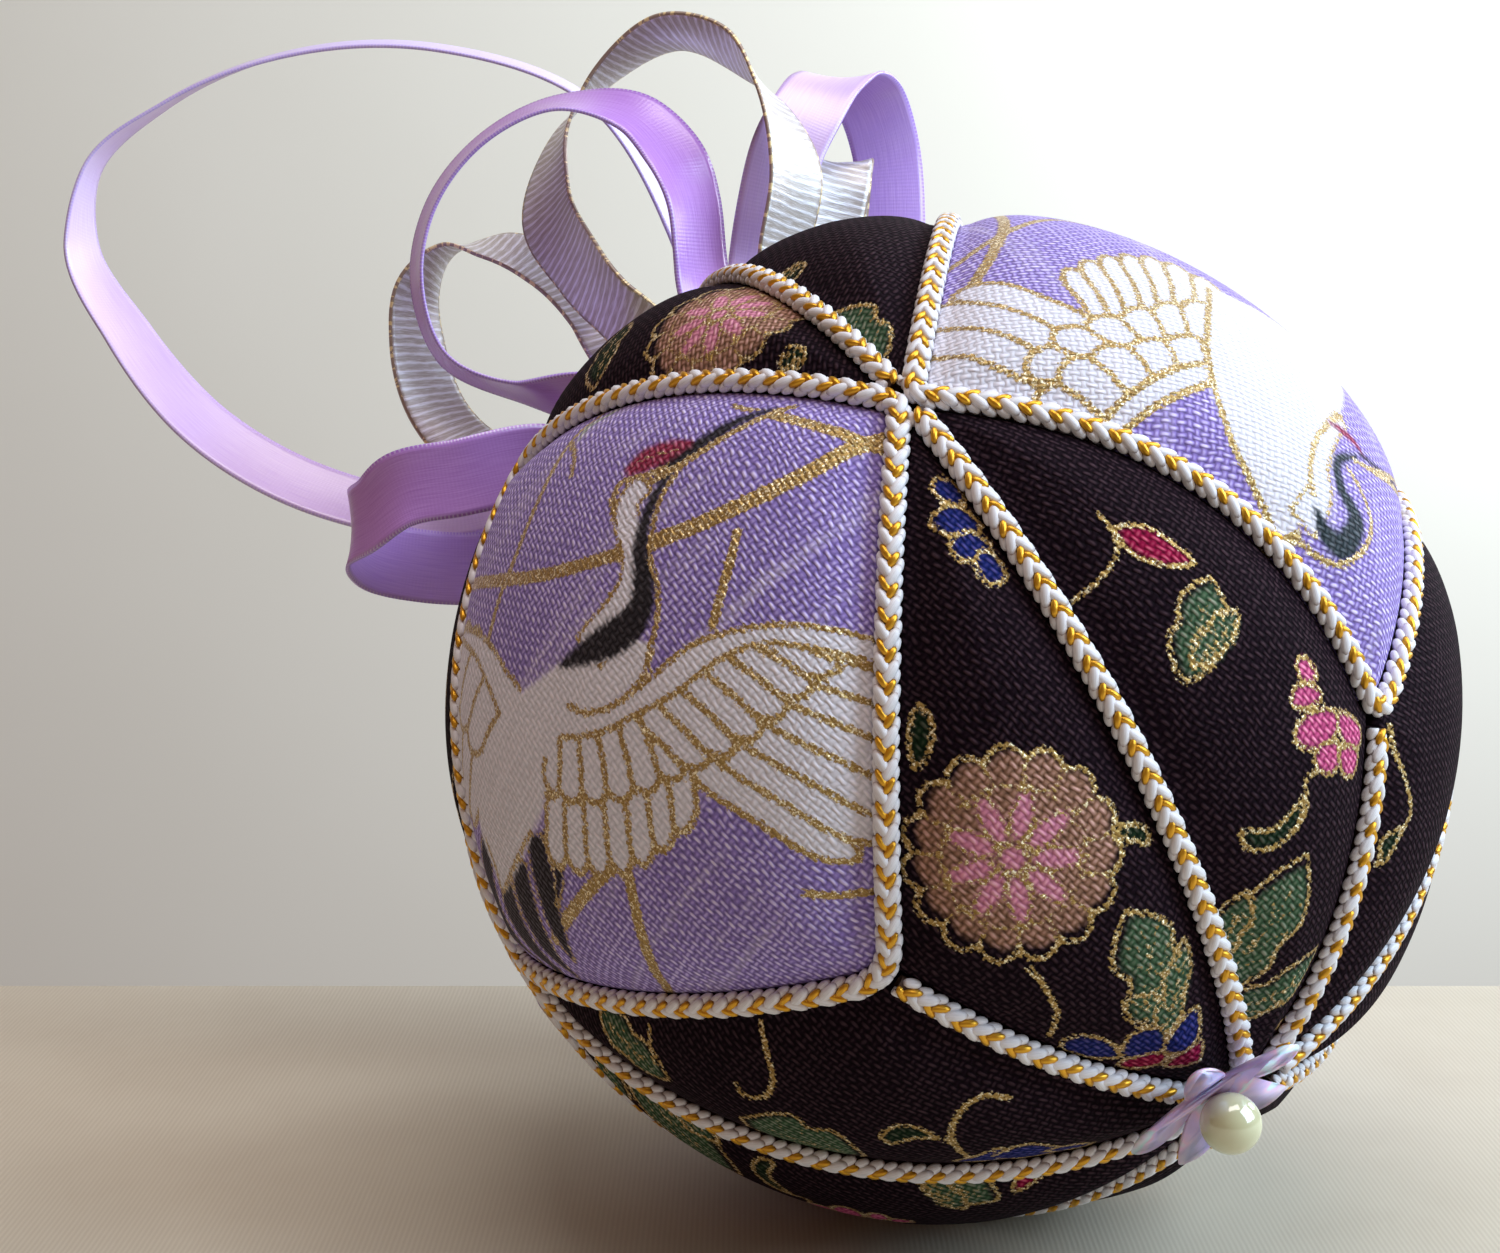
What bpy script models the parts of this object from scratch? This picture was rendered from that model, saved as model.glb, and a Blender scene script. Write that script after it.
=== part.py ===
"""A kimekomi ball: printed cotton patches tucked round a ball, braided cord laid over every seam,
a flower sequin and a pearl bead at the lower pole, and a spray of ribbon loops with one long
hanging loop at the upper pole. Metres, +Z up. The origin is the middle of the small flat spot
that the ball rests on. The ball is seen from -Y in its usual view."""

import math

import bmesh
import bpy
import numpy as np

MM = 0.001

# The ball: its centre height, how far its weight flattens it where it rests, and the slope and
# turn of the axis through its two poles
BALL_HEIGHT = 37.75 * MM
FLAT_SPOT_DEPTH = 0.5 * MM
POLE_FROM_UP = math.radians(126.0)
POLE_TURN = math.radians(-52.2)
BALL_SPIN = math.radians(-146.6)

# The seams between the patches, in degrees from the lower pole and round it. A side corner is
# where two diamonds touch on the waist, a low or high corner is a diamond's lower or upper tip.
SIDE_CORNERS = ((90.0, 0.0), (87.5, 88.0), (90.0, 180.0), (90.0, -90.0))
LOW_CORNERS = ((46.5, 44.7), (46.5, 135.0), (46.0, -135.0), (43.0, -43.5))
HIGH_CORNERS = ((134.0, 45.0), (134.0, 135.0), (134.5, -135.0), (134.0, -45.0))
# How far the edges of each diamond bow outwards, in degrees: low edge from its first side corner,
# low edge to its second, high edge from the second, high edge to the first
EDGE_BOWS = ((0.0, 0.5, 0.5, 0.0), (0.5, 0.0, 0.0, 0.5), (0.0, 5.0, 0.5, 0.0), (5.5, 6.0, 1.0, 0.0))

# The cord and how it lies
CORD_WIDTH = 2.1 * MM
CORD_CENTRE = 37.1 * MM
PIECE_GAP = 0.3 * MM
CORD_STEP = 4.6 * MM
BEND_A_POINT = math.radians(22.0)
REPEATED = 1e-6
SIDE_TIP_BACK = 0.45 * MM
SIDE_ROUNDING = 2.1 * MM
TIP_ROUNDING = 2.5 * MM
LONG_CORD_SHORT_OF_SIDE = 3.6 * MM
SHORT_CORD_SHORT_OF_TIP = 2.1 * MM
CORD_START_FROM_POLE = 3.7 * MM

# The patches: how high each stands at its crown, at its shoulder and where it dives under the cord
CROWN = 38.4 * MM
SHOULDER = 37.1 * MM
SHOULDER_IN = 1.5 * MM
PUFF_WIDTH = 2.4 * MM
CORD_BED_IN = 1.0 * MM
CORD_BED = 36.0 * MM
SEAM_IN = 0.17 * MM
SEAM_DEPTH = 35.6 * MM
ROOT_IN = 0.75 * MM
ROOT = 9.0 * MM
OUTLINE_STEP = 6.0 * MM
INNER_RINGS = (0.88, 0.7, 0.5, 0.26)

# The flower sequin and the pearl bead
FLOWER_PLACE = (10.5, 30.0)
FLOWER_SEAT = 38.6 * MM
FLOWER_THICKNESS = 0.5 * MM
PETALS = 5
PETAL_REACH = 6.5 * MM
PETAL_NOTCH = 1.5 * MM
PETAL_POINTED = 1.75
PETAL_CUP = 1.3 * MM
PETAL_RINGS = (0.22, 0.6, 1.0)
POINTS_A_PETAL = 8
FLOWER_SPIN = math.radians(48.0)
FLOWER_TIP = math.radians(8.0)
PEARL_RADIUS = 2.0 * MM

# The ribbons
RIBBON_WIDTH = 6.4 * MM
RIBBON_THICKNESS = 1.0 * MM
RIBBON_STEP = 2.4 * MM
FOOT_HEIGHTS = (39.1 * MM, 40.45 * MM)
FOOT_INNER = 1.9 * MM
FOOT_FAN = math.tan(math.radians(16.5))
FEET_APART = 0.4 * MM
PIN_HEAD_RADIUS = 2.6 * MM
PIN_HEAD_SEAT = 41.3 * MM
PIN_HEAD_HEIGHT = 1.5 * MM
# The pin head's outline: share of its radius, share of its height
PIN_HEAD_PROFILE = ((1.0, 0.0), (1.0, 0.35), (0.75, 0.8), (0.35, 1.0))
PIN_HEAD_SIDES = 16
# The routes are read from a viewpoint that looks down a little: it stands here from the ball's centre
VIEW_DIP = math.radians(8.0)
VIEW_FROM_BALL = (-14.9 * MM, 6.7 * MM, -173.6 * MM)

# One row a bend: right, up and behind the ball's centre in mm as seen from the viewpoint, and the
# turn of the ribbon's face in degrees, 0 square to the view, 90 edge on, past 90 its inner side.
# A foot is where an end is pinned: degrees round the upper pole, layer, and reach in mm.
RIBBONS = {
    "hanging_loop": {
        "slot": "satin_ribbon",
        "feet": ((133, 1, 7.0), (-172, 1, 8.0)),
        "route": (
            (-19, 33, 37, 75),
            (-22, 44, 39, 78),
            (-30, 56, 38, 84),
            (-44, 61, 38, 86),
            (-57, 61, 39, 87),
            (-70, 56, 39, 92),
            (-77, 50, 39, 110),
            (-78, 43, 39, 128),
            (-73, 34, 37, 134),
            (-65, 25, 35, 136),
            (-54, 19, 34, 134),
            (-43, 17, 34, 130),
            (-32, 20, 34, 125),
        ),
    },
    "satin_loop_left": {
        "slot": "satin_ribbon",
        "feet": ((-17, 0, 8.0), (-84, 0, 8.0)),
        "route": (
            (-19, 37, 16, 48),
            (-19.8, 43, 16, 48),
            (-21.5, 47, 17, 46),
            (-24.5, 50.3, 18, 58),
            (-31, 51.6, 19, 80),
            (-37.5, 49, 20, 84),
            (-42.6, 43, 21, 83),
            (-43.8, 37, 21, 82),
            (-41.6, 30, 21, 82),
            (-34, 26.5, 20, 76),
        ),
    },
    "silver_loop_top": {
        "slot": "silver_ribbon",
        "feet": ((20, 0, 9.0), (-50, 0, 8.0)),
        "route": (
            (-12, 39, 17, 50),
            (-11, 45, 17, 50),
            (-13, 52, 19, 80),
            (-17, 57, 22, 112),
            (-22, 59, 25, 118),
            (-28, 56, 28, 108),
            (-32, 51, 28, 84),
            (-33, 44, 25, 56),
            (-30, 38, 20, 50),
            (-26, 33, 16, 50),
        ),
    },
    "silver_loop_left": {
        "slot": "silver_ribbon",
        "feet": ((-85, 1, 4.5), (-136, 1, 7.5)),
        "route": (
            (-28, 34, 26, 45),
            (-33, 39, 28, 50),
            (-38, 41, 29, 70),
            (-42, 41, 30, 100),
            (-45, 37, 30, 128),
            (-45, 32, 30, 138),
            (-43, 26, 29, 140),
            (-39, 22, 27, 135),
            (-33, 21, 24, 130),
        ),
    },
    "satin_loop_low": {
        "slot": "satin_ribbon",
        "feet": ((-133, 0, 9.0), (-169, 0, 9.0)),
        "across": (0.0, 1.0, 0.0),
        "route": (
            (-33, 20.5, 15.5, 0),
            (-39, 19, 13, 0),
            (-44, 18, 13, 0),
            (-47, 16, 15, 0),
            (-49, 15, 18, 0),
            (-48, 13, 22, 0),
            (-44, 12, 25, 0),
            (-37, 12, 27, 0),
            (-30, 14, 28, 0),
        ),
    },
    "satin_loop_right": {
        "slot": "satin_ribbon",
        "feet": ((24, 1, 7.0), (99, 1, 9.0)),
        "across": (0.99, 0.0, 0.12),
        "route": (
            (-13.6, 38.5, 22.6, 0),
            (-12.9, 43, 22, 0),
            (-11.6, 48.4, 22.5, 0),
            (-9.8, 52.2, 24, 0),
            (-8.2, 55, 26.6, 0),
            (-6.3, 56.4, 30, 0),
            (-3.9, 55.2, 33.8, 0),
            (-2.4, 51.5, 36, 0),
            (-1.8, 46, 36.6, 0),
            (-2.2, 39, 36, 0),
        ),
    },
    "silver_loop_right": {
        "slot": "silver_ribbon",
        "feet": ((54, 0, 9.0), (62, 1, 9.0)),
        "across": (0.94, 0.0, 0.34),
        "route": (
            (-8, 38, 26, 0),
            (-7.8, 42.5, 26.2, 0),
            (-7.2, 46.5, 26.9, 0),
            (-7, 48.5, 28.6, 0),
            (-7, 46.5, 31, 0),
            (-7.5, 42, 32, 0),
            (-9, 37, 31, 0),
        ),
    },
}

# Colour, roughness and metal of each finish
FINISHES = {
    "lavender_cotton": ((0.42, 0.29, 0.62), 0.85, 0.0),
    "dark_cotton": ((0.06, 0.03, 0.05), 0.88, 0.0),
    "braided_cord": ((0.83, 0.76, 0.66), 0.45, 0.2),
    "satin_ribbon": ((0.50, 0.27, 0.78), 0.35, 0.0),
    "silver_ribbon": ((0.66, 0.64, 0.68), 0.35, 0.6),
    "iridescent_sequin": ((0.72, 0.55, 0.86), 0.15, 0.0),
    "pearl": ((0.90, 0.87, 0.74), 0.20, 0.0),
    "brass": ((0.72, 0.53, 0.22), 0.30, 1.0),
}


def clear_scene():
    for old in list(bpy.data.objects):
        bpy.data.objects.remove(old)


def unit(vector):
    return vector / np.linalg.norm(vector)


def turn_about_z(angle):
    c, s = math.cos(angle), math.sin(angle)
    return np.array([[c, -s, 0.0], [s, c, 0.0], [0.0, 0.0, 1.0]])


def turn_about_y(angle):
    c, s = math.cos(angle), math.sin(angle)
    return np.array([[c, 0.0, s], [0.0, 1.0, 0.0], [-s, 0.0, c]])


BALL_AXES = turn_about_z(POLE_TURN) @ turn_about_y(POLE_FROM_UP) @ turn_about_z(BALL_SPIN)
BALL_CENTRE = np.array([0.0, 0.0, BALL_HEIGHT])


def on_ball(from_pole, around):
    """The direction from the ball's centre, for degrees from the lower pole and round it."""
    a, b = math.radians(from_pole), math.radians(around)
    return np.array([math.sin(a) * math.cos(b), math.sin(a) * math.sin(b), math.cos(a)])


LOW_POLE = on_ball(0, 0)
HIGH_POLE = on_ball(180, 0)


def placed(direction, radius):
    """A point of the real ball, from a direction in the ball's own axes. The lowest of them lie
    pressed flat on the table."""
    point = BALL_CENTRE + BALL_AXES @ direction * radius
    if point[2] < FLAT_SPOT_DEPTH:
        point[2] = 0.0
    return point


def great_arc(start, end, bow_degrees=0.0, count=60):
    """Directions along the shortest way over the ball, bowed sideways to its left."""
    angle = math.acos(np.clip(start @ end, -1.0, 1.0))
    side = unit(np.cross(start, end))
    rows = []
    for t in np.linspace(0.0, 1.0, count):
        straight = (math.sin((1 - t) * angle) * start + math.sin(t * angle) * end) / math.sin(angle)
        lift = math.radians(bow_degrees) * math.sin(math.pi * t)
        rows.append(unit(straight + side * lift))
    return np.array(rows)


def even_points(directions, count):
    """The same path, as count directions evenly apart."""
    steps = np.linalg.norm(np.diff(directions, axis=0), axis=1)
    along = np.concatenate([[0.0], np.cumsum(steps)])
    wanted = np.linspace(0.0, along[-1], count)
    columns = [np.interp(wanted, along, directions[:, i]) for i in range(3)]
    return np.array([unit(row) for row in np.array(columns).T])


def bend_points(directions, step):
    """Fewer points of the same path: one at each bend, and no two further apart than the step."""
    apart = np.linalg.norm(np.diff(directions, axis=0), axis=1) > REPEATED
    directions = directions[np.concatenate([[True], apart])]
    kept = [directions[0]]
    way, turn = 0.0, 0.0
    for before, here, after in zip(directions, directions[1:], directions[2:]):
        way += np.linalg.norm(here - before) * CORD_CENTRE
        turn += math.acos(np.clip(unit(here - before) @ unit(after - here), -1.0, 1.0))
        if way > step or turn > BEND_A_POINT:
            kept.append(here)
            way, turn = 0.0, 0.0
    kept.append(directions[-1])
    return np.array(kept)


def trimmed(directions, off_start, off_end):
    """The path without its first and last stretch."""
    steps = np.linalg.norm(np.diff(directions, axis=0), axis=1) * CORD_CENTRE
    along = np.concatenate([[0.0], np.cumsum(steps)])
    wanted = np.linspace(off_start, along[-1] - off_end, len(directions))
    columns = [np.interp(wanted, along, directions[:, i]) for i in range(3)]
    return np.array([unit(row) for row in np.array(columns).T])


def rounded_corner(before, corner, after, count=7):
    rows = []
    for t in np.linspace(0.0, 1.0, count):
        rows.append(unit((1 - t) ** 2 * before + 2 * t * (1 - t) * corner + t**2 * after))
    return np.array(rows)


def side_tip(index, towards):
    """The side corner of a diamond, drawn back a little from where it would meet its neighbour."""
    corner = on_ball(*SIDE_CORNERS[index % 4])
    inwards = unit(towards - corner * (towards @ corner))
    return unit(corner + inwards * SIDE_TIP_BACK / CORD_CENTRE)


def diamond_quarters(index):
    """The four edges of a diamond with half of each rounded corner at their ends, in order: first
    side corner to low tip, low tip to second side corner, on to the high tip, and back."""
    middle = on_ball(90.0, 45.0 + 90.0 * index)
    first = side_tip(index, middle)
    second = side_tip(index + 1, middle)
    low = on_ball(*LOW_CORNERS[index])
    high = on_ball(*HIGH_CORNERS[index])
    corners = (first, low, second, high)
    cuts = (SIDE_ROUNDING, TIP_ROUNDING, SIDE_ROUNDING, TIP_ROUNDING)
    edges = []
    for i, bow in enumerate(EDGE_BOWS[index]):
        arc = great_arc(corners[i], corners[(i + 1) % 4], -bow)
        edges.append(trimmed(arc, cuts[i], cuts[(i + 1) % 4]))
    bends = []
    for i in range(4):
        bends.append(rounded_corner(edges[i - 1][-1], corners[i], edges[i][0]))
    half = len(bends[0]) // 2
    quarters = []
    for i in range(4):
        parts = (bends[i][half:], edges[i], bends[(i + 1) % 4][: half + 1])
        quarters.append(np.concatenate(parts))
    return quarters


def long_seam(index, pole):
    return great_arc(pole, on_ball(*SIDE_CORNERS[index % 4]))


def short_seam(corner, pole):
    return great_arc(pole, corner)


def distance_to(line, directions):
    """How far each direction lies from a path over the ball, measured at the cord's depth."""
    start, step = line[:-1], np.diff(line, axis=0)
    offset = directions[:, None] - start
    share = (offset * step).sum(axis=2) / np.maximum((step * step).sum(axis=1), 1e-12)
    offset -= np.clip(share, 0.0, 1.0)[:, :, None] * step
    return np.linalg.norm(offset, axis=2).min(axis=1) * CORD_CENTRE


def spoke(middle, rim, shares):
    """Directions on the way from a patch's middle to a point of its outline."""
    angle = math.acos(np.clip(middle @ rim, -1.0, 1.0)) * np.array(shares)[:, None]
    out = unit(rim - middle * (middle @ rim))
    return middle * np.cos(angle) + out * np.sin(angle)


def inset_share(shares, apart, inset):
    """The share of the way to the rim at which the outline is as far away as the inset."""
    last = np.nonzero(apart >= inset)[0][-1]
    rise = apart[last] - apart[last + 1]
    return shares[last] + (apart[last] - inset) / rise * (shares[1] - shares[0])


def puffed(distance):
    """The height of a patch's face at a distance from its seam."""
    fall = math.exp(-max(distance - SHOULDER_IN, 0.0) / PUFF_WIDTH)
    return CROWN - (CROWN - SHOULDER) * fall


def material(name):
    found = bpy.data.materials.get(name)
    if found:
        return found
    colour, roughness, metallic = FINISHES[name]
    made = bpy.data.materials.new(name)
    made.use_nodes = True
    shader = made.node_tree.nodes["Principled BSDF"]
    shader.inputs["Base Color"].default_value = (*colour, 1.0)
    shader.inputs["Roughness"].default_value = roughness
    shader.inputs["Metallic"].default_value = metallic
    return made


def add_object(name, bm, slot, sharp_degrees=40.0):
    bmesh.ops.recalc_face_normals(bm, faces=bm.faces)
    mesh = bpy.data.meshes.new(name)
    bm.to_mesh(mesh)
    bm.free()
    mesh.shade_smooth()
    mesh.set_sharp_from_angle(angle=math.radians(sharp_degrees))
    mesh.materials.append(material(slot))
    made = bpy.data.objects.new(name, mesh)
    bpy.context.scene.collection.objects.link(made)
    return made


def ring_of(bm, points):
    """A closed loop of edges through the points."""
    corners = [bm.verts.new(point) for point in points]
    return [bm.edges.new((corners[i], corners[(i + 1) % len(corners)])) for i in range(len(corners))]


def capped_at(bm, edges, point):
    """Closes a loop of edges with a fan to one point."""
    tip = bm.verts.new(point)
    for edge in edges:
        bm.faces.new((edge.verts[0], edge.verts[1], tip))


def add_patch(name, outline, slot):
    """One patch with the wedge of the ball that it is tucked over."""
    closed = np.concatenate([outline, outline[:1]])
    rims = bend_points(closed, OUTLINE_STEP)[:-1]
    middle = unit(even_points(closed, 60).mean(axis=0))
    insets = (ROOT_IN, SEAM_IN, CORD_BED_IN, SHOULDER_IN)
    heights = (ROOT, SEAM_DEPTH, CORD_BED, SHOULDER)
    marks = np.linspace(0.0, 1.0, 161)
    apart = [distance_to(closed, spoke(middle, rim, marks)) for rim in rims]
    shares = [[inset_share(marks, row, inset) for row in apart] for inset in insets]
    bm = bmesh.new()
    rings = []
    for row, height in zip(shares, heights):
        points = []
        for rim, share in zip(rims, row):
            points.append(placed(spoke(middle, rim, (share,))[0], height))
        rings.append(ring_of(bm, points))
    for part in INNER_RINGS:
        points = []
        for rim, share in zip(rims, shares[-1]):
            direction = spoke(middle, rim, (share * part,))
            depth = distance_to(closed, direction)[0]
            points.append(placed(direction[0], puffed(depth)))
        rings.append(ring_of(bm, points))
    for lower, upper in zip(rings[:-1], rings[1:]):
        bmesh.ops.bridge_loops(bm, edges=lower + upper)
    capped_at(bm, rings[0], placed(middle, ROOT))
    depth = distance_to(closed, middle[None])[0]
    capped_at(bm, rings[-1], placed(middle, puffed(depth)))
    add_object(name, bm, slot)


def add_diamonds():
    for index in range(4):
        outline = np.concatenate([quarter[:-1] for quarter in diamond_quarters(index)])
        add_patch(f"diamond_{index + 1}", outline, "lavender_cotton")


def add_petals():
    """The dark patches: two between the poles and each diamond's first and second side corner."""
    for half, pole, tips in (("low", LOW_POLE, LOW_CORNERS), ("high", HIGH_POLE, HIGH_CORNERS)):
        for index in range(4):
            quarters = diamond_quarters(index)
            tip_seam = short_seam(on_ball(*tips[index]), pole)[::-1]
            if half == "low":
                first_edge, second_edge = quarters[0], quarters[1][::-1]
            else:
                first_edge, second_edge = quarters[3][::-1], quarters[2]
            for number, side, edge in ((1, index, first_edge), (2, index + 1, second_edge)):
                outline = np.concatenate([long_seam(side, pole), edge, tip_seam[:-1]])
                add_patch(f"petal_{half}_{2 * index + number}", outline, "dark_cotton")


def add_cord(name, directions, closed=False):
    """A round cord along a path over the ball, pressed flat where the ball rests."""
    points = bend_points(directions, CORD_STEP)
    if closed:
        points = points[:-1]
    curve = bpy.data.curves.new(name, "CURVE")
    curve.dimensions = "3D"
    curve.bevel_depth = CORD_WIDTH / 2
    curve.bevel_resolution = 2
    curve.use_fill_caps = True
    line = curve.splines.new("POLY")
    line.points.add(len(points) - 1)
    for knot, direction in zip(line.points, points):
        knot.co = (*(BALL_CENTRE + BALL_AXES @ direction * CORD_CENTRE), 1.0)
    line.use_cyclic_u = closed
    helper = bpy.data.objects.new(name + "_line", curve)
    bpy.context.scene.collection.objects.link(helper)
    bpy.context.view_layer.update()
    bm = bmesh.new()
    bm.from_mesh(helper.evaluated_get(bpy.context.evaluated_depsgraph_get()).to_mesh())
    bpy.data.objects.remove(helper)
    bmesh.ops.remove_doubles(bm, verts=bm.verts, dist=1e-6)
    for corner in bm.verts:
        corner.co.z = max(corner.co.z, 0.0)
    add_object(name, bm, "braided_cord", 60.0)


def add_ring_cords():
    for index in range(4):
        loop = np.concatenate([quarter[:-1] for quarter in diamond_quarters(index)])
        add_cord(f"ring_cord_{index + 1}", np.concatenate([loop, loop[:1]]), closed=True)


def add_straight_cords():
    for half, pole, tips in (("low", LOW_POLE, LOW_CORNERS), ("high", HIGH_POLE, HIGH_CORNERS)):
        for index in range(4):
            long_line = trimmed(long_seam(index, pole), CORD_START_FROM_POLE, LONG_CORD_SHORT_OF_SIDE)
            add_cord(f"long_cord_{half}_{index + 1}", long_line)
            seam = short_seam(on_ball(*tips[index]), pole)
            short_line = trimmed(seam, CORD_START_FROM_POLE, SHORT_CORD_SHORT_OF_TIP)
            add_cord(f"short_cord_{half}_{index + 1}", short_line)


def tangent_axes(direction):
    """Two directions square to this one: the first as near to straight up as it can be."""
    upward = unit(np.array([0.0, 0.0, 1.0]) - direction * direction[2])
    return upward, np.cross(direction, upward)


def add_flower():
    """A flower sequin with narrow petals, cupped outwards, over the ends of the cords. It leans a
    little: the petal that points at the ball's lavender side is lifted."""
    out = BALL_AXES @ on_ball(*FLOWER_PLACE)
    up, across = tangent_axes(out)
    ahead = math.cos(FLOWER_SPIN) * across + math.sin(FLOWER_SPIN) * up
    side = math.cos(FLOWER_SPIN) * up - math.sin(FLOWER_SPIN) * across
    facing = math.cos(FLOWER_TIP) * out - math.sin(FLOWER_TIP) * ahead
    ahead = math.cos(FLOWER_TIP) * ahead + math.sin(FLOWER_TIP) * out
    seat = BALL_CENTRE + out * FLOWER_SEAT
    bm = bmesh.new()
    around = POINTS_A_PETAL * PETALS
    sides = []
    for layer in (0, 1):
        rings = []
        for share in PETAL_RINGS:
            points = []
            for i in range(around):
                angle = 2 * math.pi * i / around
                petal = abs(math.cos(angle * PETALS / 2)) ** PETAL_POINTED
                reach = (PETAL_NOTCH + (PETAL_REACH - PETAL_NOTCH) * petal) * share
                lift = layer * FLOWER_THICKNESS + PETAL_CUP * (reach / PETAL_REACH) ** 2
                flat = math.cos(angle) * ahead + math.sin(angle) * side
                points.append(seat + facing * lift + flat * reach)
            rings.append(ring_of(bm, points))
        for inner, outer in zip(rings[:-1], rings[1:]):
            bmesh.ops.bridge_loops(bm, edges=inner + outer)
        capped_at(bm, rings[0], seat + facing * layer * FLOWER_THICKNESS)
        sides.append(rings[-1])
    bmesh.ops.bridge_loops(bm, edges=sides[0] + sides[1])
    add_object("flower_sequin", bm, "iridescent_sequin", 60.0)


def add_pearl():
    out = BALL_AXES @ on_ball(*FLOWER_PLACE)
    bm = bmesh.new()
    bmesh.ops.create_uvsphere(bm, u_segments=16, v_segments=10, radius=PEARL_RADIUS)
    height = FLOWER_SEAT + FLOWER_THICKNESS + PIECE_GAP + PEARL_RADIUS
    for corner in bm.verts:
        corner.co = np.array(corner.co) + BALL_CENTRE + out * height
    add_object("pearl_bead", bm, "pearl", 60.0)


def smooth_through(rows, steps):
    """Rows between the given ones, on one smooth curve through them all. The first three numbers
    of a row are its place, and the way between the places sets the pace."""
    ways = np.linalg.norm(np.diff(rows[:, :3], axis=0), axis=1)[:, None]
    slopes = np.diff(rows, axis=0) / ways
    bends = (slopes[:-1] * ways[1:] + slopes[1:] * ways[:-1]) / (ways[:-1] + ways[1:])
    bends = np.concatenate([slopes[:1], bends, slopes[-1:]])
    out = []
    for p0, p1, m0, m1, way in zip(rows, rows[1:], bends, bends[1:], ways):
        for t in np.linspace(0.0, 1.0, steps, endpoint=False):
            ease = t * t * (3 - 2 * t)
            lean = m0 * t * (1 - t) ** 2 - m1 * t * t * (1 - t)
            out.append(p0 + (p1 - p0) * ease + lean * way)
    out.append(rows[-1])
    return np.array(out)


VIEW_AXES = np.array(
    [
        [1.0, 0.0, 0.0],
        [0.0, math.sin(VIEW_DIP), math.cos(VIEW_DIP)],
        [0.0, math.cos(VIEW_DIP), -math.sin(VIEW_DIP)],
    ]
)
RIBBON_POLE = BALL_AXES @ HIGH_POLE


def foot_point(azimuth, reach, height):
    """A point over the ball near the ribbons' pole, and the direction across the foot there."""
    up, right = tangent_axes(RIBBON_POLE)
    angle = math.radians(azimuth)
    along = math.cos(angle) * up + math.sin(angle) * right
    lean = reach / height
    point = BALL_CENTRE + (RIBBON_POLE * math.cos(lean) + along * math.sin(lean)) * height
    return point, unit(np.cross(RIBBON_POLE, along))


def foot_rows(azimuth, layer, reach_mm):
    """Rows of point, across and width from a foot's gathered tip outwards."""
    height = FOOT_HEIGHTS[layer]
    rows = []
    for reach in (FOOT_INNER, 0.5 * (FOOT_INNER + reach_mm * MM), reach_mm * MM):
        point, across = foot_point(azimuth, reach, height)
        width = min(RIBBON_WIDTH, 2 * reach * FOOT_FAN - FEET_APART)
        rows.append((point, across, width))
    return rows


def route_rows(ribbon):
    eye = BALL_CENTRE + np.array(VIEW_FROM_BALL) @ VIEW_AXES
    rows = []
    points = [BALL_CENTRE + np.array(row[:3]) * MM @ VIEW_AXES for row in ribbon["route"]]
    for i, point in enumerate(points):
        ahead = unit(points[min(i + 1, len(points) - 1)] - points[max(i - 1, 0)])
        away = unit(point - eye)
        outward = unit(np.cross(away, ahead))
        turn = math.radians(ribbon["route"][i][3])
        across = math.cos(turn) * outward + math.sin(turn) * away
        if "across" in ribbon:
            across = np.array(ribbon["across"]) @ VIEW_AXES
        rows.append((point, across, RIBBON_WIDTH))
    return rows


def ribbon_rows(ribbon):
    """Every row of a ribbon, with its face turned the short way from each row to the next."""
    first, last = ribbon["feet"]
    rows = foot_rows(*first) + route_rows(ribbon) + foot_rows(*last)[::-1]
    even = rows[:1]
    for point, across, width in rows[1:]:
        same_way = across @ even[-1][1] > 0
        even.append((point, across if same_way else -across, width))
    return even


def swept_band(bm, rows, thickness):
    """A flat band through rows of point, across and width, with square ends."""
    table = smooth_through(np.array([(*point, *across, width) for point, across, width in rows]), 12)
    along = np.concatenate([[0.0], np.cumsum(np.linalg.norm(np.diff(table[:, :3], axis=0), axis=1))])
    wanted = np.linspace(0.0, along[-1], round(along[-1] / RIBBON_STEP) + 1)
    table = np.array([np.interp(wanted, along, column) for column in table.T]).T
    rings = []
    for row, ahead in zip(table, np.gradient(table[:, :3], axis=0)):
        forward = unit(ahead)
        side = unit(row[3:6] - forward * (row[3:6] @ forward))
        face = np.cross(forward, side) * thickness / 2
        side = side * row[6] / 2
        corners = (side + face, face - side, -side - face, side - face)
        rings.append(ring_of(bm, [row[:3] + corner for corner in corners]))
    for lower, upper in zip(rings[:-1], rings[1:]):
        bmesh.ops.bridge_loops(bm, edges=lower + upper)
    for end in (rings[0], rings[-1]):
        bm.faces.new([edge.verts[0] for edge in end])


def add_ribbons():
    for name, ribbon in RIBBONS.items():
        bm = bmesh.new()
        swept_band(bm, ribbon_rows(ribbon), RIBBON_THICKNESS)
        add_object(name, bm, ribbon["slot"], 50.0)


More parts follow.
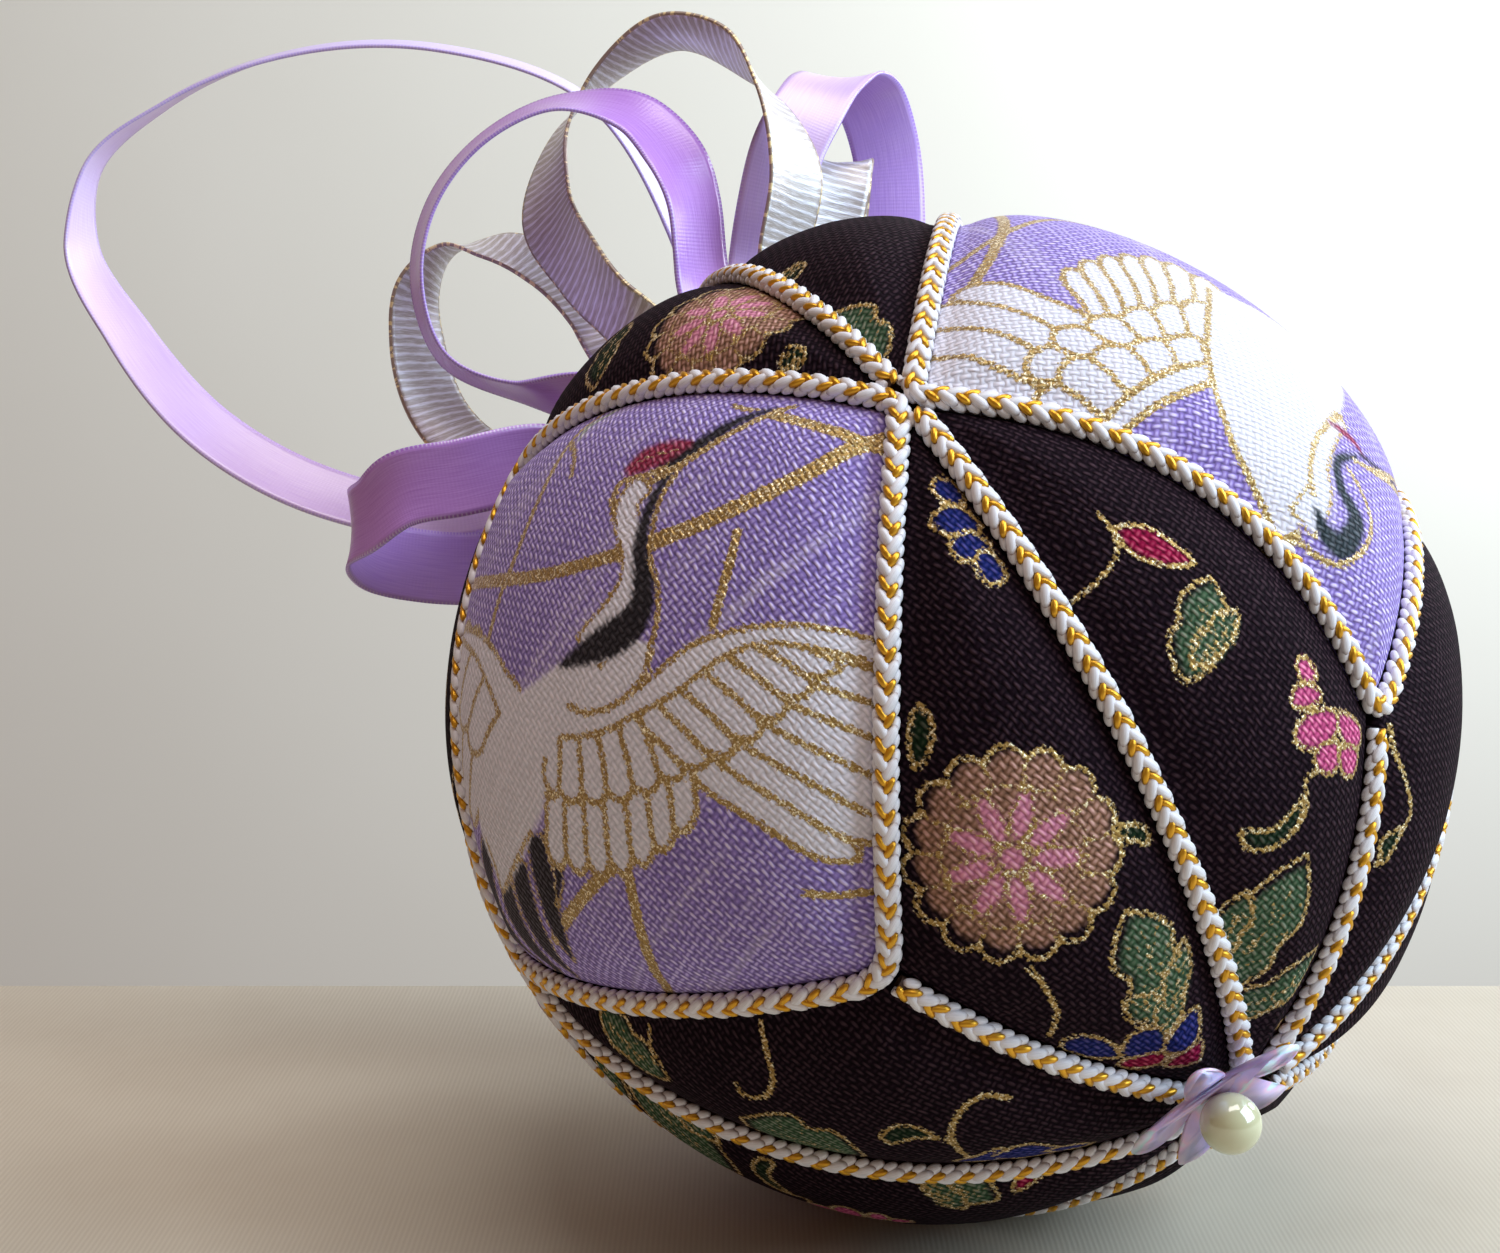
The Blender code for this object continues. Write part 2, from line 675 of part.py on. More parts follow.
def add_ribbon_pin():
    """A plain domed pin head that holds the gathered ribbon ends down."""
    up, right = tangent_axes(RIBBON_POLE)
    bm = bmesh.new()
    rings = []
    for share, lift in PIN_HEAD_PROFILE:
        points = []
        for i in range(PIN_HEAD_SIDES):
            angle = 2 * math.pi * i / PIN_HEAD_SIDES
            flat = (math.cos(angle) * up + math.sin(angle) * right) * PIN_HEAD_RADIUS * share
            points.append(BALL_CENTRE + RIBBON_POLE * (PIN_HEAD_SEAT + lift * PIN_HEAD_HEIGHT) + flat)
        rings.append(ring_of(bm, points))
    for lower, upper in zip(rings[:-1], rings[1:]):
        bmesh.ops.bridge_loops(bm, edges=lower + upper)
    capped_at(bm, rings[0], BALL_CENTRE + RIBBON_POLE * PIN_HEAD_SEAT)
    capped_at(bm, rings[-1], BALL_CENTRE + RIBBON_POLE * (PIN_HEAD_SEAT + PIN_HEAD_HEIGHT))
    add_object("ribbon_pin", bm, "brass", 50.0)


clear_scene()
add_diamonds()
add_petals()
add_ring_cords()
add_straight_cords()
add_flower()
add_pearl()
add_ribbons()
add_ribbon_pin()
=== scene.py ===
import math

import bmesh
import bpy
import numpy as np
from mathutils import Matrix, Vector
from mathutils.geometry import delaunay_2d_cdt


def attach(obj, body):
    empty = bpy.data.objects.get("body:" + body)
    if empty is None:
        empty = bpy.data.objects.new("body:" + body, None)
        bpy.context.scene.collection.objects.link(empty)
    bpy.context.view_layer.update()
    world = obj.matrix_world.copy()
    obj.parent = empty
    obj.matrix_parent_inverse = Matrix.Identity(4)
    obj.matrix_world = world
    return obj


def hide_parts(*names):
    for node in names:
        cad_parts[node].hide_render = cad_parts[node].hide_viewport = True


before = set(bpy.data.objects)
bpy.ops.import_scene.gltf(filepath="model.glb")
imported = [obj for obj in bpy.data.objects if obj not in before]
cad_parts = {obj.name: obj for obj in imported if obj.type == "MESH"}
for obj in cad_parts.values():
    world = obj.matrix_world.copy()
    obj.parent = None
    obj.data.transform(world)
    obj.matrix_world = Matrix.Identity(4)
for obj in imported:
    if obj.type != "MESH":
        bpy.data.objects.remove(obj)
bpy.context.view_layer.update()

# The viewpoint: a little above the ball and in front of it, looking down a few degrees.
VIEW_DIP = math.radians(8)
viewpoint = bpy.data.objects.new("viewpoint", bpy.data.cameras.new("viewpoint"))
viewpoint.data.lens = 54
viewpoint.data.sensor_width = 36
viewpoint.data.clip_start = 0.01
viewpoint.location = (-0.01494, -0.17099, 0.06850)
viewpoint.rotation_euler = (math.pi / 2 - VIEW_DIP, 0, 0)
bpy.context.scene.collection.objects.link(viewpoint)
bpy.context.scene.camera = viewpoint

# The table and the wall: a pale board with fine ribs across it, and a cream wall well behind.
# They stand in for the room and are no part of the ball.
MM = 0.001
TABLE_BACK = 52 * MM
TABLE_HALF = 0.5
WALL_BEHIND = 600 * MM
WALL_HALF = 1.0
RIB_PITCH = 0.4 * MM
WAVES_IN_ONE = 3.2


def named_material(name, **looks):
    """A material, its nodes and its shader. Each look sets the socket of that name."""
    made = bpy.data.materials.new(name)
    made.use_nodes = True
    shader = made.node_tree.nodes["Principled BSDF"]
    for socket, value in looks.items():
        shader.inputs[socket.replace("_", " ")].default_value = value
    return made, made.node_tree, shader


def node(tree, kind, **inputs):
    """A shader node with its settings and inputs. A name in inputs is a socket, or a setting of
    the node where it has one of that name. A socket may be linked to or given a value."""
    made = tree.nodes.new("ShaderNode" + kind)
    for key, value in inputs.items():
        if hasattr(made, key):
            setattr(made, key, value)
            continue
        socket = made.inputs[int(key[1:])] if key[0] == "_" else made.inputs[key.replace("_", " ")]
        if isinstance(value, bpy.types.NodeSocket):
            tree.links.new(value, socket)
        else:
            socket.default_value = value
    return made


def sums(tree, operation, first, second=0.5, third=0.5):
    return node(tree, "Math", operation=operation, _0=first, _1=second, _2=third).outputs[0]


def part(tree, vector, axis):
    return node(tree, "SeparateXYZ", Vector=vector).outputs[axis]


def stretched(tree, place, scale=(1, 1, 1), turn=0):
    return node(tree, "Mapping", Vector=place, Scale=scale, Rotation=(0, 0, turn)).outputs["Vector"]


def noise(tree, place, scale, detail):
    return node(tree, "TexNoise", Vector=place, Scale=scale, Detail=detail).outputs["Fac"]


def ramp(tree, share, *stops, steps=False):
    """Colours from one stop, a place and a colour, to the next."""
    made = node(tree, "ValToRGB", Fac=share)
    made.color_ramp.interpolation = "CONSTANT" if steps else "LINEAR"
    held = made.color_ramp.elements
    held[0].position, held[1].position = stops[0][0], stops[-1][0]
    for at, _ in stops[1:-1]:
        held.new(at)
    for stop, (_, colour) in zip(held, stops):
        stop.color = (*colour, 1)
    return made.outputs["Color"]


def mixed(tree, share, first, second):
    return node(tree, "Mix", data_type="RGBA", _0=share, _6=first, _7=second).outputs[2]


def paint(tree, shader, colour, height=None, strength=0.0, depth=0.0):
    """Gives the shader its colour, and the fine relief that the height draws."""
    tree.links.new(colour, shader.inputs["Base Color"])
    if height:
        relief = node(tree, "Bump", Strength=strength, Distance=depth, Height=height)
        tree.links.new(relief.outputs["Normal"], shader.inputs["Normal"])


def add_piece(name, bm, materials, smooth=True):
    mesh = bpy.data.meshes.new(name)
    bm.to_mesh(mesh)
    bm.free()
    if smooth:
        mesh.shade_smooth()
    for one in materials:
        mesh.materials.append(one)
    made = bpy.data.objects.new(name, mesh)
    bpy.context.scene.collection.objects.link(made)
    return made


board, tree, shader = named_material("ribbed_board", Roughness=0.75, Specular_IOR_Level=0.25)
place = node(tree, "TexCoord").outputs["Object"]
rib_scale = 1 / RIB_PITCH / WAVES_IN_ONE
ribs = node(tree, "TexWave", bands_direction="X", Vector=place, Scale=rib_scale, Distortion=0.4)
tone = sums(tree, "ADD", sums(tree, "MULTIPLY", ribs.outputs["Fac"], 0.45), noise(tree, place, 60, 4))
colour = ramp(tree, tone, (0.3, (0.485, 0.43, 0.345)), (1, (0.56, 0.51, 0.415)))
paint(tree, shader, colour, tone, 0.15, 0.1 * MM)
bm = bmesh.new()
bmesh.ops.create_grid(bm, x_segments=1, y_segments=1, size=TABLE_HALF)
bmesh.ops.translate(bm, verts=bm.verts, vec=(0, TABLE_BACK - TABLE_HALF, 0))
table = add_piece("table", bm, [board], smooth=False)

wall_paint, tree, shader = named_material("wall_paint", Roughness=0.9, Specular_IOR_Level=0.2)
place = node(tree, "TexCoord").outputs["Object"]
paint(tree, shader, ramp(tree, noise(tree, place, 9, 3), (0, (0.83, 0.825, 0.74)), (1, (0.88, 0.88, 0.80))))
bm = bmesh.new()
bmesh.ops.create_grid(bm, x_segments=1, y_segments=1, size=WALL_HALF)
bmesh.ops.rotate(bm, verts=bm.verts, matrix=Matrix.Rotation(math.pi / 2, 3, "X"))
bmesh.ops.translate(bm, verts=bm.verts, vec=(0, WALL_BEHIND, 0))
wall = add_piece("wall", bm, [wall_paint], smooth=False)

# The light: a soft cool window on the right, a weaker one above, and a third that falls on the wall
# behind. What reaches the shaded side comes back warm from the room, and where no table or wall
# is seen there is plain pale paper.
LAMPS = (
    # name, watts, side in m, place, where it aims, colour
    ("window", 4.8, 0.46, (0.50, -0.13, 0.36), (0, 0.10, 0.04), (0.64, 0.84, 1.0)),
    ("skylight", 2.1, 0.40, (0.04, -0.05, 0.60), (0, 0.10, 0.04), (0.95, 0.91, 0.90)),
    ("wall_light", 2.8, 0.30, (0.42, 0.30, 0.30), (-0.10, 0.60, 0.12), (0.84, 0.92, 1.0)),
)
for name, watts, size, place, aim, colour in LAMPS:
    lamp = bpy.data.lights.new(name, "AREA")
    lamp.energy = watts
    lamp.size = size
    lamp.color = colour
    made = bpy.data.objects.new(name, lamp)
    made.location = place
    made.rotation_euler = (Vector(place) - Vector(aim)).to_track_quat("Z", "Y").to_euler()
    bpy.context.scene.collection.objects.link(made)
world = bpy.data.worlds.new("room")
world.use_nodes = True
tree = world.node_tree
glow = tree.nodes["Background"]
glow.inputs["Color"].default_value = (1.0, 0.54, 0.34, 1)
glow.inputs["Strength"].default_value = 0.175
paper = node(tree, "Background", Color=(0.72, 0.70, 0.66, 1))
seen = node(tree, "LightPath").outputs["Is Camera Ray"]
both = node(tree, "MixShader", _0=seen, _1=glow.outputs[0], _2=paper.outputs[0])
tree.links.new(both.outputs[0], tree.nodes["World Output"].inputs["Surface"])
bpy.context.scene.world = world
bpy.context.scene.view_settings.view_transform = "Standard"

# The patches: 20 pieces of printed cotton, each pushed into the cuts of a foam ball all round
# its edge, so that it stands up in a low cushion between the cuts. Four are diamonds of lavender
# cloth round the waist, and two dark ones lie beside each, towards each pole.
BALL_HEIGHT = 37.75 * MM
FLAT_SPOT_DEPTH = 0.5 * MM
POLE_FROM_UP = math.radians(126)
POLE_TURN = math.radians(-52.2)
BALL_SPIN = math.radians(-146.6)
# Corners of the diamonds: degrees from the lower pole and round the ball
SIDE_CORNERS = ((90, 0), (87.5, 88), (90, 180), (90, -90))
LOW_CORNERS = ((46.5, 44.7), (46.5, 135), (46, -135), (43, -43.5))
HIGH_CORNERS = ((134, 45), (134, 135), (134.5, -135), (134, -45))
# How far each diamond's four edges bow outwards, in degrees
EDGE_BOWS = ((0, 0.5, 0.5, 0), (0.5, 0, 0, 0.5), (0, 5, 0.5, 0), (5.5, 6, 1, 0))
CORD_CENTRE = 37.1 * MM
SIDE_TIP_BACK = 0.45 * MM
SIDE_ROUNDING = 1.2 * MM
TIP_ROUNDING = 2.5 * MM
CROWN = 38.4 * MM
SHOULDER = 37.1 * MM
SHOULDER_IN = 1.5 * MM
PUFF_WIDTH = 2.4 * MM
SEAM_DEPTH = 35.6 * MM
SEAM_IN = 0.2 * MM
ROOT = 9 * MM
CLOTH_RADIUS = 38 * MM
CLOTH_STEP = 0.4 * MM
CLOTH_SPAN_MM = 80.0
RIM_POINTS = 400
PULL_STEPS = 14
ROW_APART = 0.866
TINY = 1e-6


def unit(vectors):
    return vectors / np.linalg.norm(vectors, axis=-1, keepdims=True)


def on_ball(from_pole, around):
    a, b = math.radians(from_pole), math.radians(around)
    return np.array([math.sin(a) * math.cos(b), math.sin(a) * math.sin(b), math.cos(a)])


TURNS = ((POLE_TURN, "Z"), (POLE_FROM_UP, "Y"), (BALL_SPIN, "Z"))
first, second, third = (Matrix.Rotation(angle, 3, axis) for angle, axis in TURNS)
BALL_AXES = np.array(first @ second @ third)
BALL_CENTRE = np.array([0, 0, BALL_HEIGHT])
POLES = {"low": on_ball(0, 0), "high": on_ball(180, 0)}


def great_arc(start, end, bow_degrees=0, count=60):
    """A path over the ball. Paths and outlines are rows of directions from the ball's centre."""
    angle = math.acos(np.clip(start @ end, -1, 1))
    t = np.linspace(0, 1, count)[:, None]
    rows = (np.sin((1 - t) * angle) * start + np.sin(t * angle) * end) / math.sin(angle)
    side = unit(np.cross(start, end))
    return unit(rows + side * math.radians(bow_degrees) * np.sin(math.pi * t))


def walked(rows):
    """How far along its rows a path has come at each."""
    return np.concatenate([[0], np.cumsum(np.linalg.norm(np.diff(rows, axis=0), axis=1))])


def rows_at(wanted, marks, rows):
    """The rows at the wanted marks, between the rows that have these marks."""
    return np.array([np.interp(wanted, marks, column) for column in rows.T]).T


def trimmed(directions, off_start, off_end, count=None):
    """The path without its first and last stretch, in points evenly apart."""
    along = walked(directions) * CORD_CENTRE
    wanted = np.linspace(off_start, along[-1] - off_end, count or len(directions))
    return unit(rows_at(wanted, along, directions))


def rounded_corner(before, corner, after):
    t = np.linspace(0, 1, 7)[:, None]
    return unit((1 - t) ** 2 * before + 2 * t * (1 - t) * corner + t**2 * after)


def side_tip(index, towards):
    corner = on_ball(*SIDE_CORNERS[index % 4])
    return unit(corner + unit(towards - corner * (towards @ corner)) * SIDE_TIP_BACK / CORD_CENTRE)


def diamond_quarters(index):
    """The four edges of a diamond: side corner, low tip, second side corner, high tip and back."""
    middle = on_ball(90, 45 + 90 * index)
    low, high = on_ball(*LOW_CORNERS[index]), on_ball(*HIGH_CORNERS[index])
    corners = (side_tip(index, middle), low, side_tip(index + 1, middle), high)
    cuts = (SIDE_ROUNDING, TIP_ROUNDING, SIDE_ROUNDING, TIP_ROUNDING)
    edges = [
        trimmed(great_arc(corners[i], corners[(i + 1) % 4], -bow), cuts[i], cuts[(i + 1) % 4])
        for i, bow in enumerate(EDGE_BOWS[index])
    ]
    bends = [rounded_corner(edges[i - 1][-1], corners[i], edges[i][0]) for i in range(4)]
    return [np.concatenate((bends[i][3:], edges[i], bends[(i + 1) % 4][:4])) for i in range(4)]


def patch_outlines():
    """Every patch's name, outline and cloth."""
    for index in range(4):
        yield f"diamond_{index + 1}", np.concatenate(diamond_quarters(index)), "lavender_cotton"
    for half, tips in (("low", LOW_CORNERS), ("high", HIGH_CORNERS)):
        for index in range(4):
            first, second, third, fourth = diamond_quarters(index)
            edges = (first, second[::-1]) if half == "low" else (fourth[::-1], third)
            tip_seam = great_arc(POLES[half], on_ball(*tips[index]))[::-1]
            for number, edge in enumerate(edges):
                side = great_arc(POLES[half], on_ball(*SIDE_CORNERS[(index + number) % 4]))
                outline = np.concatenate([side, edge, tip_seam[:-1]])
                yield f"petal_{half}_{2 * index + number + 1}", outline, "dark_cotton"


def near_path(points, path):
    """How far each point lies from a path."""
    nearest = np.full(len(points), 99.0)
    for start, end in zip(path[:-1], path[1:]):
        step = end - start
        share = np.clip((points - start) @ step / max(step @ step, 1e-12), 0, 1)
        nearest = np.minimum(nearest, np.linalg.norm(points - start - share[:, None] * step, axis=1))
    return nearest


def from_seam(directions, seam):
    return near_path(directions, seam) * CORD_CENTRE


def map_axes(middle):
    """Across and up on a patch's flat map, as seen from outside the ball."""
    upward = BALL_AXES.T @ np.array([0, 0, 1])
    up = unit(upward - middle * (middle @ upward))
    return np.cross(up, middle), up


def to_map(middle, directions):
    """Places on the patch's flat map, in metres from its middle."""
    across, up = map_axes(middle)
    angle = np.arccos(np.clip(directions @ middle, -1, 1))
    flat = np.stack([directions @ across, directions @ up], axis=1)
    return flat / np.maximum(np.linalg.norm(flat, axis=1), 1e-9)[:, None] * angle[:, None] * CLOTH_RADIUS


def from_map(middle, places):
    across, up = map_axes(middle)
    reach = np.maximum(np.linalg.norm(places, axis=1), 1e-12)[:, None]
    flat = (places[:, :1] * across + places[:, 1:] * up) / reach
    return middle * np.cos(reach / CLOTH_RADIUS) + flat * np.sin(reach / CLOTH_RADIUS)


def cushion_height(distance):
    """The height of a patch's face over the ball's centre, at a distance from its seam."""
    beyond = np.maximum(distance - SHOULDER_IN, 0)
    puff = CROWN - (CROWN - SHOULDER) * np.exp(-beyond / PUFF_WIDTH)
    share = np.clip((SHOULDER_IN - distance) / (SHOULDER_IN - SEAM_IN), 0, 1)
    return puff - (SHOULDER - SEAM_DEPTH) * (1 - np.sqrt(1 - share**2))


def pulled_in(middle, outline, inset):
    """The outline moved towards the middle until it is the inset away from the seam."""
    angle = np.arccos(np.clip(outline @ middle, -1, 1))[:, None]
    out = unit(outline - middle * (outline @ middle)[:, None])
    closed = np.concatenate([outline, outline[:1]])
    off = np.zeros_like(angle)
    for _ in range(PULL_STEPS):
        rows = middle * np.cos(angle - off) + out * np.sin(angle - off)
        off += (inset - from_seam(rows, closed))[:, None] / CORD_CENTRE * 0.9
    return rows


# The print on the patches: cranes and gold reeds on the lavender, chrysanthemums, leaves and small
# flowers on the dark. Flat inks, each edged with glittering gold paste that sits on the threads.
INKS = {
    "lavender": (0.40, 0.285, 0.82),
    "aubergine": (0.012, 0.004, 0.010),
    "white": (0.86, 0.85, 0.96),
    "black": (0.010, 0.006, 0.008),
    "red": (0.40, 0.008, 0.070),
    "pale_green": (0.42, 0.50, 0.40),
    "green": (0.075, 0.15, 0.078),
    "deep_green": (0.012, 0.034, 0.014),
    "dark_green": (0.012, 0.034, 0.042),
    "blue": (0.014, 0.026, 0.19),
    "pink": (0.75, 0.10, 0.30),
    "rose": (0.84, 0.30, 0.46),
    "tan": (0.42, 0.22, 0.145),
}
GROUNDS = {"lavender_cotton": "lavender", "dark_cotton": "aubergine"}
BLOOM_PETALS = 15
BLOOM_HEART = 9
CURVE_STEPS = 7
PLACES_ROUND = 10
SOFT_EDGE = 3
FEATHER_GOLD = 5.6
PETAL_GOLD = 4.2
INK_IN_PETAL = 0.86
# What is printed on each patch. Everything about the print is in tenths of a millimetre, and
# 0, 0 is the patch's middle. The columns after the kind:
# line (gold): width, points. shape: ink, width of its gold edge, outline. petal: ink, outlines.
# taper: ink, gold edge, its widths along the way, points. bloom: radius, centre.
# fan (feathers side by side): how many, ink, their roots, their tips. leaf: ink, width, stalk, tip.
PRINTS = {
    "diamond_1": (
        ("line", 10.3, ((-251, 57), (-158, 58), (-70, 65), (-18, 76), (29, 91))),
        ("line", 12.6, ((35, 94), (73, 112), (109, 136), (137, 160), (157, 185), (176, 205))),
        ("line", 9.2, ((82, 202), (114, 198), (145, 194), (173, 192))),
        ("line", 6.3, ((-94, 200), (-94, 166), (-93, 125), (-96, 81), (-103, 55), (-109, 21))),
        ("line", 5.7, ((-95, 170), (-73, 156), (-62, 139))),
        ("taper", "pale_green", 0, (3, 9, 9, 3), ((-71, 206), (-81, 194), (-87, 183), (-82, 169))),
        ("line", 7.5, ((105, 112), (106, 95), (106, 71), (105, 51))),
        ("line", 9.8, ((53, -115), (55, -144), (56, -179), (55, -219))),
        ("line", 10.3, ((40, -114), (14, -135), (-11, -157), (-40, -184))),
        ("line", 6.3, ((180, -112), (199, -113), (229, -110))),
        ("line", 5.7, ((53, 207), (72, 203), (92, 207))),
        ("fan", 7, "white", ((-68, -16), (-85, -4), (-104, 8), (-140, 19), (-186, 19), (-254, 8),
            (-252, -4)), ((-125, -113), (-149, -116), (-184, -117), (-240, -113), (-244, -90), (-247, -65),
            (-249, -44))),
        ("fan", 5, "white", ((-71, -16), (-99, 3), (-130, 15), (-177, 17), (-254, 4)), ((-115, -66),
            (-139, -52), (-172, -39), (-227, -29), (-252, -19))),
        ("shape", "white", 5, ((-53, -12), (-74, 0), (-100, 14), (-133, 22), (-175, 23), (-184, 17),
            (-135, 8), (-111, -4), (-91, -18), (-74, -30))),
        ("taper", "black", 3, (19, 27, 23, 4), ((-114, -126), (-129, -159), (-124, -200), (-103, -234))),
        ("taper", "black", 3, (19, 27, 23, 4), ((-89, -147), (-93, -178), (-84, -211), (-70, -242))),
        ("taper", "black", 3, (19, 27, 22, 4), ((-61, -127), (-64, -156), (-59, -192), (-47, -224))),
        ("taper", "black", 3, (19, 26, 20, 4), ((-37, -105), (-33, -133), (-32, -170), (-29, -200))),
        ("taper", "black", 3, (10, 13, 10, 3), ((-24, -101), (-16, -116), (-15, -132), (-23, -154))),
        ("fan", 7, "white", ((-17, -62), (29, -52), (65, -44), (103, -35)), ((-24, -121), (24, -121),
            (67, -107), (109, -72))),
        ("fan", 6, "white", ((107, -47), (122, -25), (139, -10), (155, 7), (173, 25), (185, 42)),
            ((198, -93), (234, -71), (244, -44), (247, -18), (247, 8), (243, 33))),
        ("fan", 6, "white", ((-22, -37), (16, -29), (56, -16), (80, -6)), ((-29, -76), (22, -73), (65, -62),
            (104, -41))),
        ("fan", 7, "white", ((62, -15), (84, 3), (99, 20), (124, 36), (149, 47), (173, 53)), ((101, -42),
            (130, -26), (152, -6), (170, 14), (189, 35), (214, 49))),
        ("shape", "white", 5, ((42, -7), (68, 13), (93, 36), (126, 51), (162, 59), (197, 59), (225, 56),
            (227, 43), (190, 45), (149, 45), (121, 35), (97, 14), (84, 3), (56, -14), (31, -27), (-6, -35),
            (-15, -25), (15, -18))),
        ("shape", "white", 0, ((63, 33), (62, 17), (51, 1), (22, -18), (-6, -32), (-24, -53), (-22, -79),
            (-38, -103), (-62, -130), (-98, -158), (-110, -140), (-122, -115), (-113, -82), (-94, -49),
            (-67, -21), (-36, -2), (-6, 17), (20, 33))),
        ("line", 5.2, ((0, -14), (19, -16), (42, -8), (59, 9), (65, 28))),
        ("line", 5.2, ((-20, -52), (-22, -63), (-15, -72))),
        ("line", 4.6, ((-113, -122), (-103, -141), (-100, -159), (-73, -136), (-56, -120), (-41, -104))),
        ("taper", "white", 4, (19, 19, 19, 19, 19, 24, 32), ((19, 138), (11, 123), (18, 107), (30, 92),
            (36, 71), (29, 49), (12, 22))),
        ("taper", "black", 0, (5, 9, 11, 13, 17, 21, 25, 26, 22, 14, 4), ((39, 147), (33, 132), (32, 114),
            (35, 95), (45, 74), (49, 57), (44, 44), (32, 34), (18, 26), (2, 18), (-14, 10))),
        ("line", 5.2, ((43, 150), (38, 128), (40, 109), (46, 88), (59, 68), (64, 48), (62, 25))),
        ("taper", "black", 0, (15, 13, 10, 5), ((26, 143), (46, 165), (66, 189), (88, 208))),
        ("line", 6.3, ((23, 138), (47, 157), (68, 180), (86, 199), (100, 213))),
        ("line", 5.7, ((3, 112), (-5, 124), (-2, 137), (15, 143), (32, 150))),
        ("taper", "red", 0, (9, 22, 19, 5), ((-3, 143), (8, 153), (25, 162), (43, 171))),
        ("line", 2.5, ((0, 150), (14, 158), (33, 163))),
    ),
    "diamond_4": (
        ("line", 7, ((-173, 163), (-133, 158), (-90, 157), (-1, 160), (36, 132))),
        ("line", 9, ((0, 210), (-70, 167), (-134, 137), (-177, 122))),
        ("line", 13, ((-187, -158), (-165, -158), (-125, -159))),
        ("line", 7, ((1, -140), (63, -158), (114, -171), (116, -193))),
        ("fan", 6, "white", ((-228, -43), (-234, -13), (-229, 10), (-208, 22), (-176, 29), (-151, 30)),
            ((-296, 33), (-291, 76), (-268, 102), (-241, 123), (-209, 138), (-164, 120))),
        ("fan", 7, "white", ((-153, 32), (-119, 22), (-86, 13), (-65, -4)), ((-127, 86), (-70, 87),
            (-8, 71), (18, 33))),
        ("fan", 6, "white", ((-192, -13), (-153, -5), (-115, -8), (-86, -18)), ((-225, 37), (-180, 45),
            (-129, 34), (-35, 18))),
        ("fan", 5, "white", ((-224, -24), (-179, -21), (-133, -23), (-106, -29)), ((-242, 13), (-191, 22),
            (-141, 8), (-87, -8))),
        ("shape", "white", 6.5, ((-249, -36), (-218, -39), (-167, -38), (-114, -43), (-90, -35),
            (-133, -23), (-175, -21), (-214, -24), (-242, -14), (-263, -5), (-263, -19))),
        ("shape", "white", 0, ((-9, 32), (21, 19), (57, 2), (90, -23), (97, -54), (26, -86), (-45, -109),
            (-82, -130), (-120, -155), (-137, -150), (-138, -113), (-134, -79), (-121, -45), (-89, -13))),
        ("line", 6, ((-6, 32), (-69, -3), (-109, -35), (-134, -79), (-138, -113), (-137, -150))),
        ("taper", "white", 4, (12, 14, 16, 22, 26), ((-1, -98), (-42, -109), (-72, -124), (-89, -142),
            (-115, -154))),
        ("taper", "dark_green", 0, (5, 9, 11, 17, 22, 16, 4), ((-14, -127), (-49, -127), (-63, -145),
            (-63, -167), (-87, -179), (-99, -167), (-99, -148))),
        ("line", 5.5, ((-40, -134), (-38, -152), (-45, -173), (-68, -187), (-95, -190), (-112, -179),
            (-122, -163))),
        ("line", 5.5, ((4, -95), (-51, -105), (-82, -122), (-95, -141))),
        ("taper", "red", 0, (3, 9, 9, 3), ((-26, -98), (-15, -106), (-5, -116), (-2, -127))),
        ("taper", "black", 0, (5, 5, 2.5), ((-9, -126), (31, -144), (114, -162))),
        ("line", 5.5, ((-24, -129), (8, -140), (113, -153), (115, -179))),
    ),
    "petal_low_1": (
        ("bloom", 69, (-31, -13)),
        ("petal", "blue", ((-70, 231), (-61, 227), (-54, 218), (-59, 210), (-69, 213), (-76, 221)),
            ((-73, 205), (-59, 209), (-45, 198), (-48, 192), (-66, 187), (-78, 196)), ((-64, 186),
            (-52, 191), (-40, 184), (-44, 173), (-59, 170), (-66, 178)), ((-50, 174), (-41, 179),
            (-32, 167), (-32, 159), (-43, 155), (-50, 165))),
        ("line", 4.5, ((-18, -86), (-8, -98), (2, -116), (4, -129), (3, -146))),
        ("leaf", "green", 42, ((84, -122), (47, -56))),
        ("leaf", "green", 22, ((87, -130), (50, -114))),
        ("leaf", "green", 20, ((80, -145), (89, -83))),
        ("petal", "blue", ((13, -158), (20, -143), (41, -148), (54, -166), (38, -170)), ((54, -164),
            (56, -143), (75, -137), (84, -160), (69, -169)), ((83, -163), (86, -143), (104, -130),
            (110, -154), (99, -165))),
        ("petal", "red", ((56, -178), (69, -165), (87, -164), (86, -178), (69, -184)), ((91, -181),
            (95, -168), (113, -160), (116, -177), (102, -183))),
        ("petal", "deep_green", ((-87, 80), (-81, 69), (-82, 52), (-91, 40), (-95, 56), (-93, 74)),
            ((32, -1), (40, 4), (55, 1), (58, -9), (45, -6))),
    ),
    "petal_low_8": (
        ("petal", "red", ((-67, 128), (-46, 127), (-29, 114), (-19, 102), (-41, 102), (-61, 112))),
        ("line", 4, ((-76, 138), (-70, 129), (-69, 113), (-80, 99), (-101, 85))),
        ("leaf", "green", 33, ((-33, 34), (-10, 86))),
        ("leaf", "green", 18, ((-27, 40), (4, 66))),
        ("petal", "pink", ((48, 36), (58, 38), (66, 25), (51, 23)), ((41, 18), (55, 22), (68, 14), (57, 7),
            (41, 8)), ((40, -7), (53, 3), (77, 4), (83, -8), (64, -19), (44, -17)), ((84, 2), (107, -6),
            (115, -19), (99, -24), (83, -14)), ((59, -20), (76, -16), (82, -27), (73, -37), (58, -31)),
            ((82, -21), (106, -25), (102, -40), (85, -38))),
        ("line", 4, ((58, -35), (48, -38), (50, -56), (42, -70))),
        ("petal", "deep_green", ((48, -49), (43, -66), (26, -79), (8, -79), (2, -67), (23, -68),
            (38, -57))),
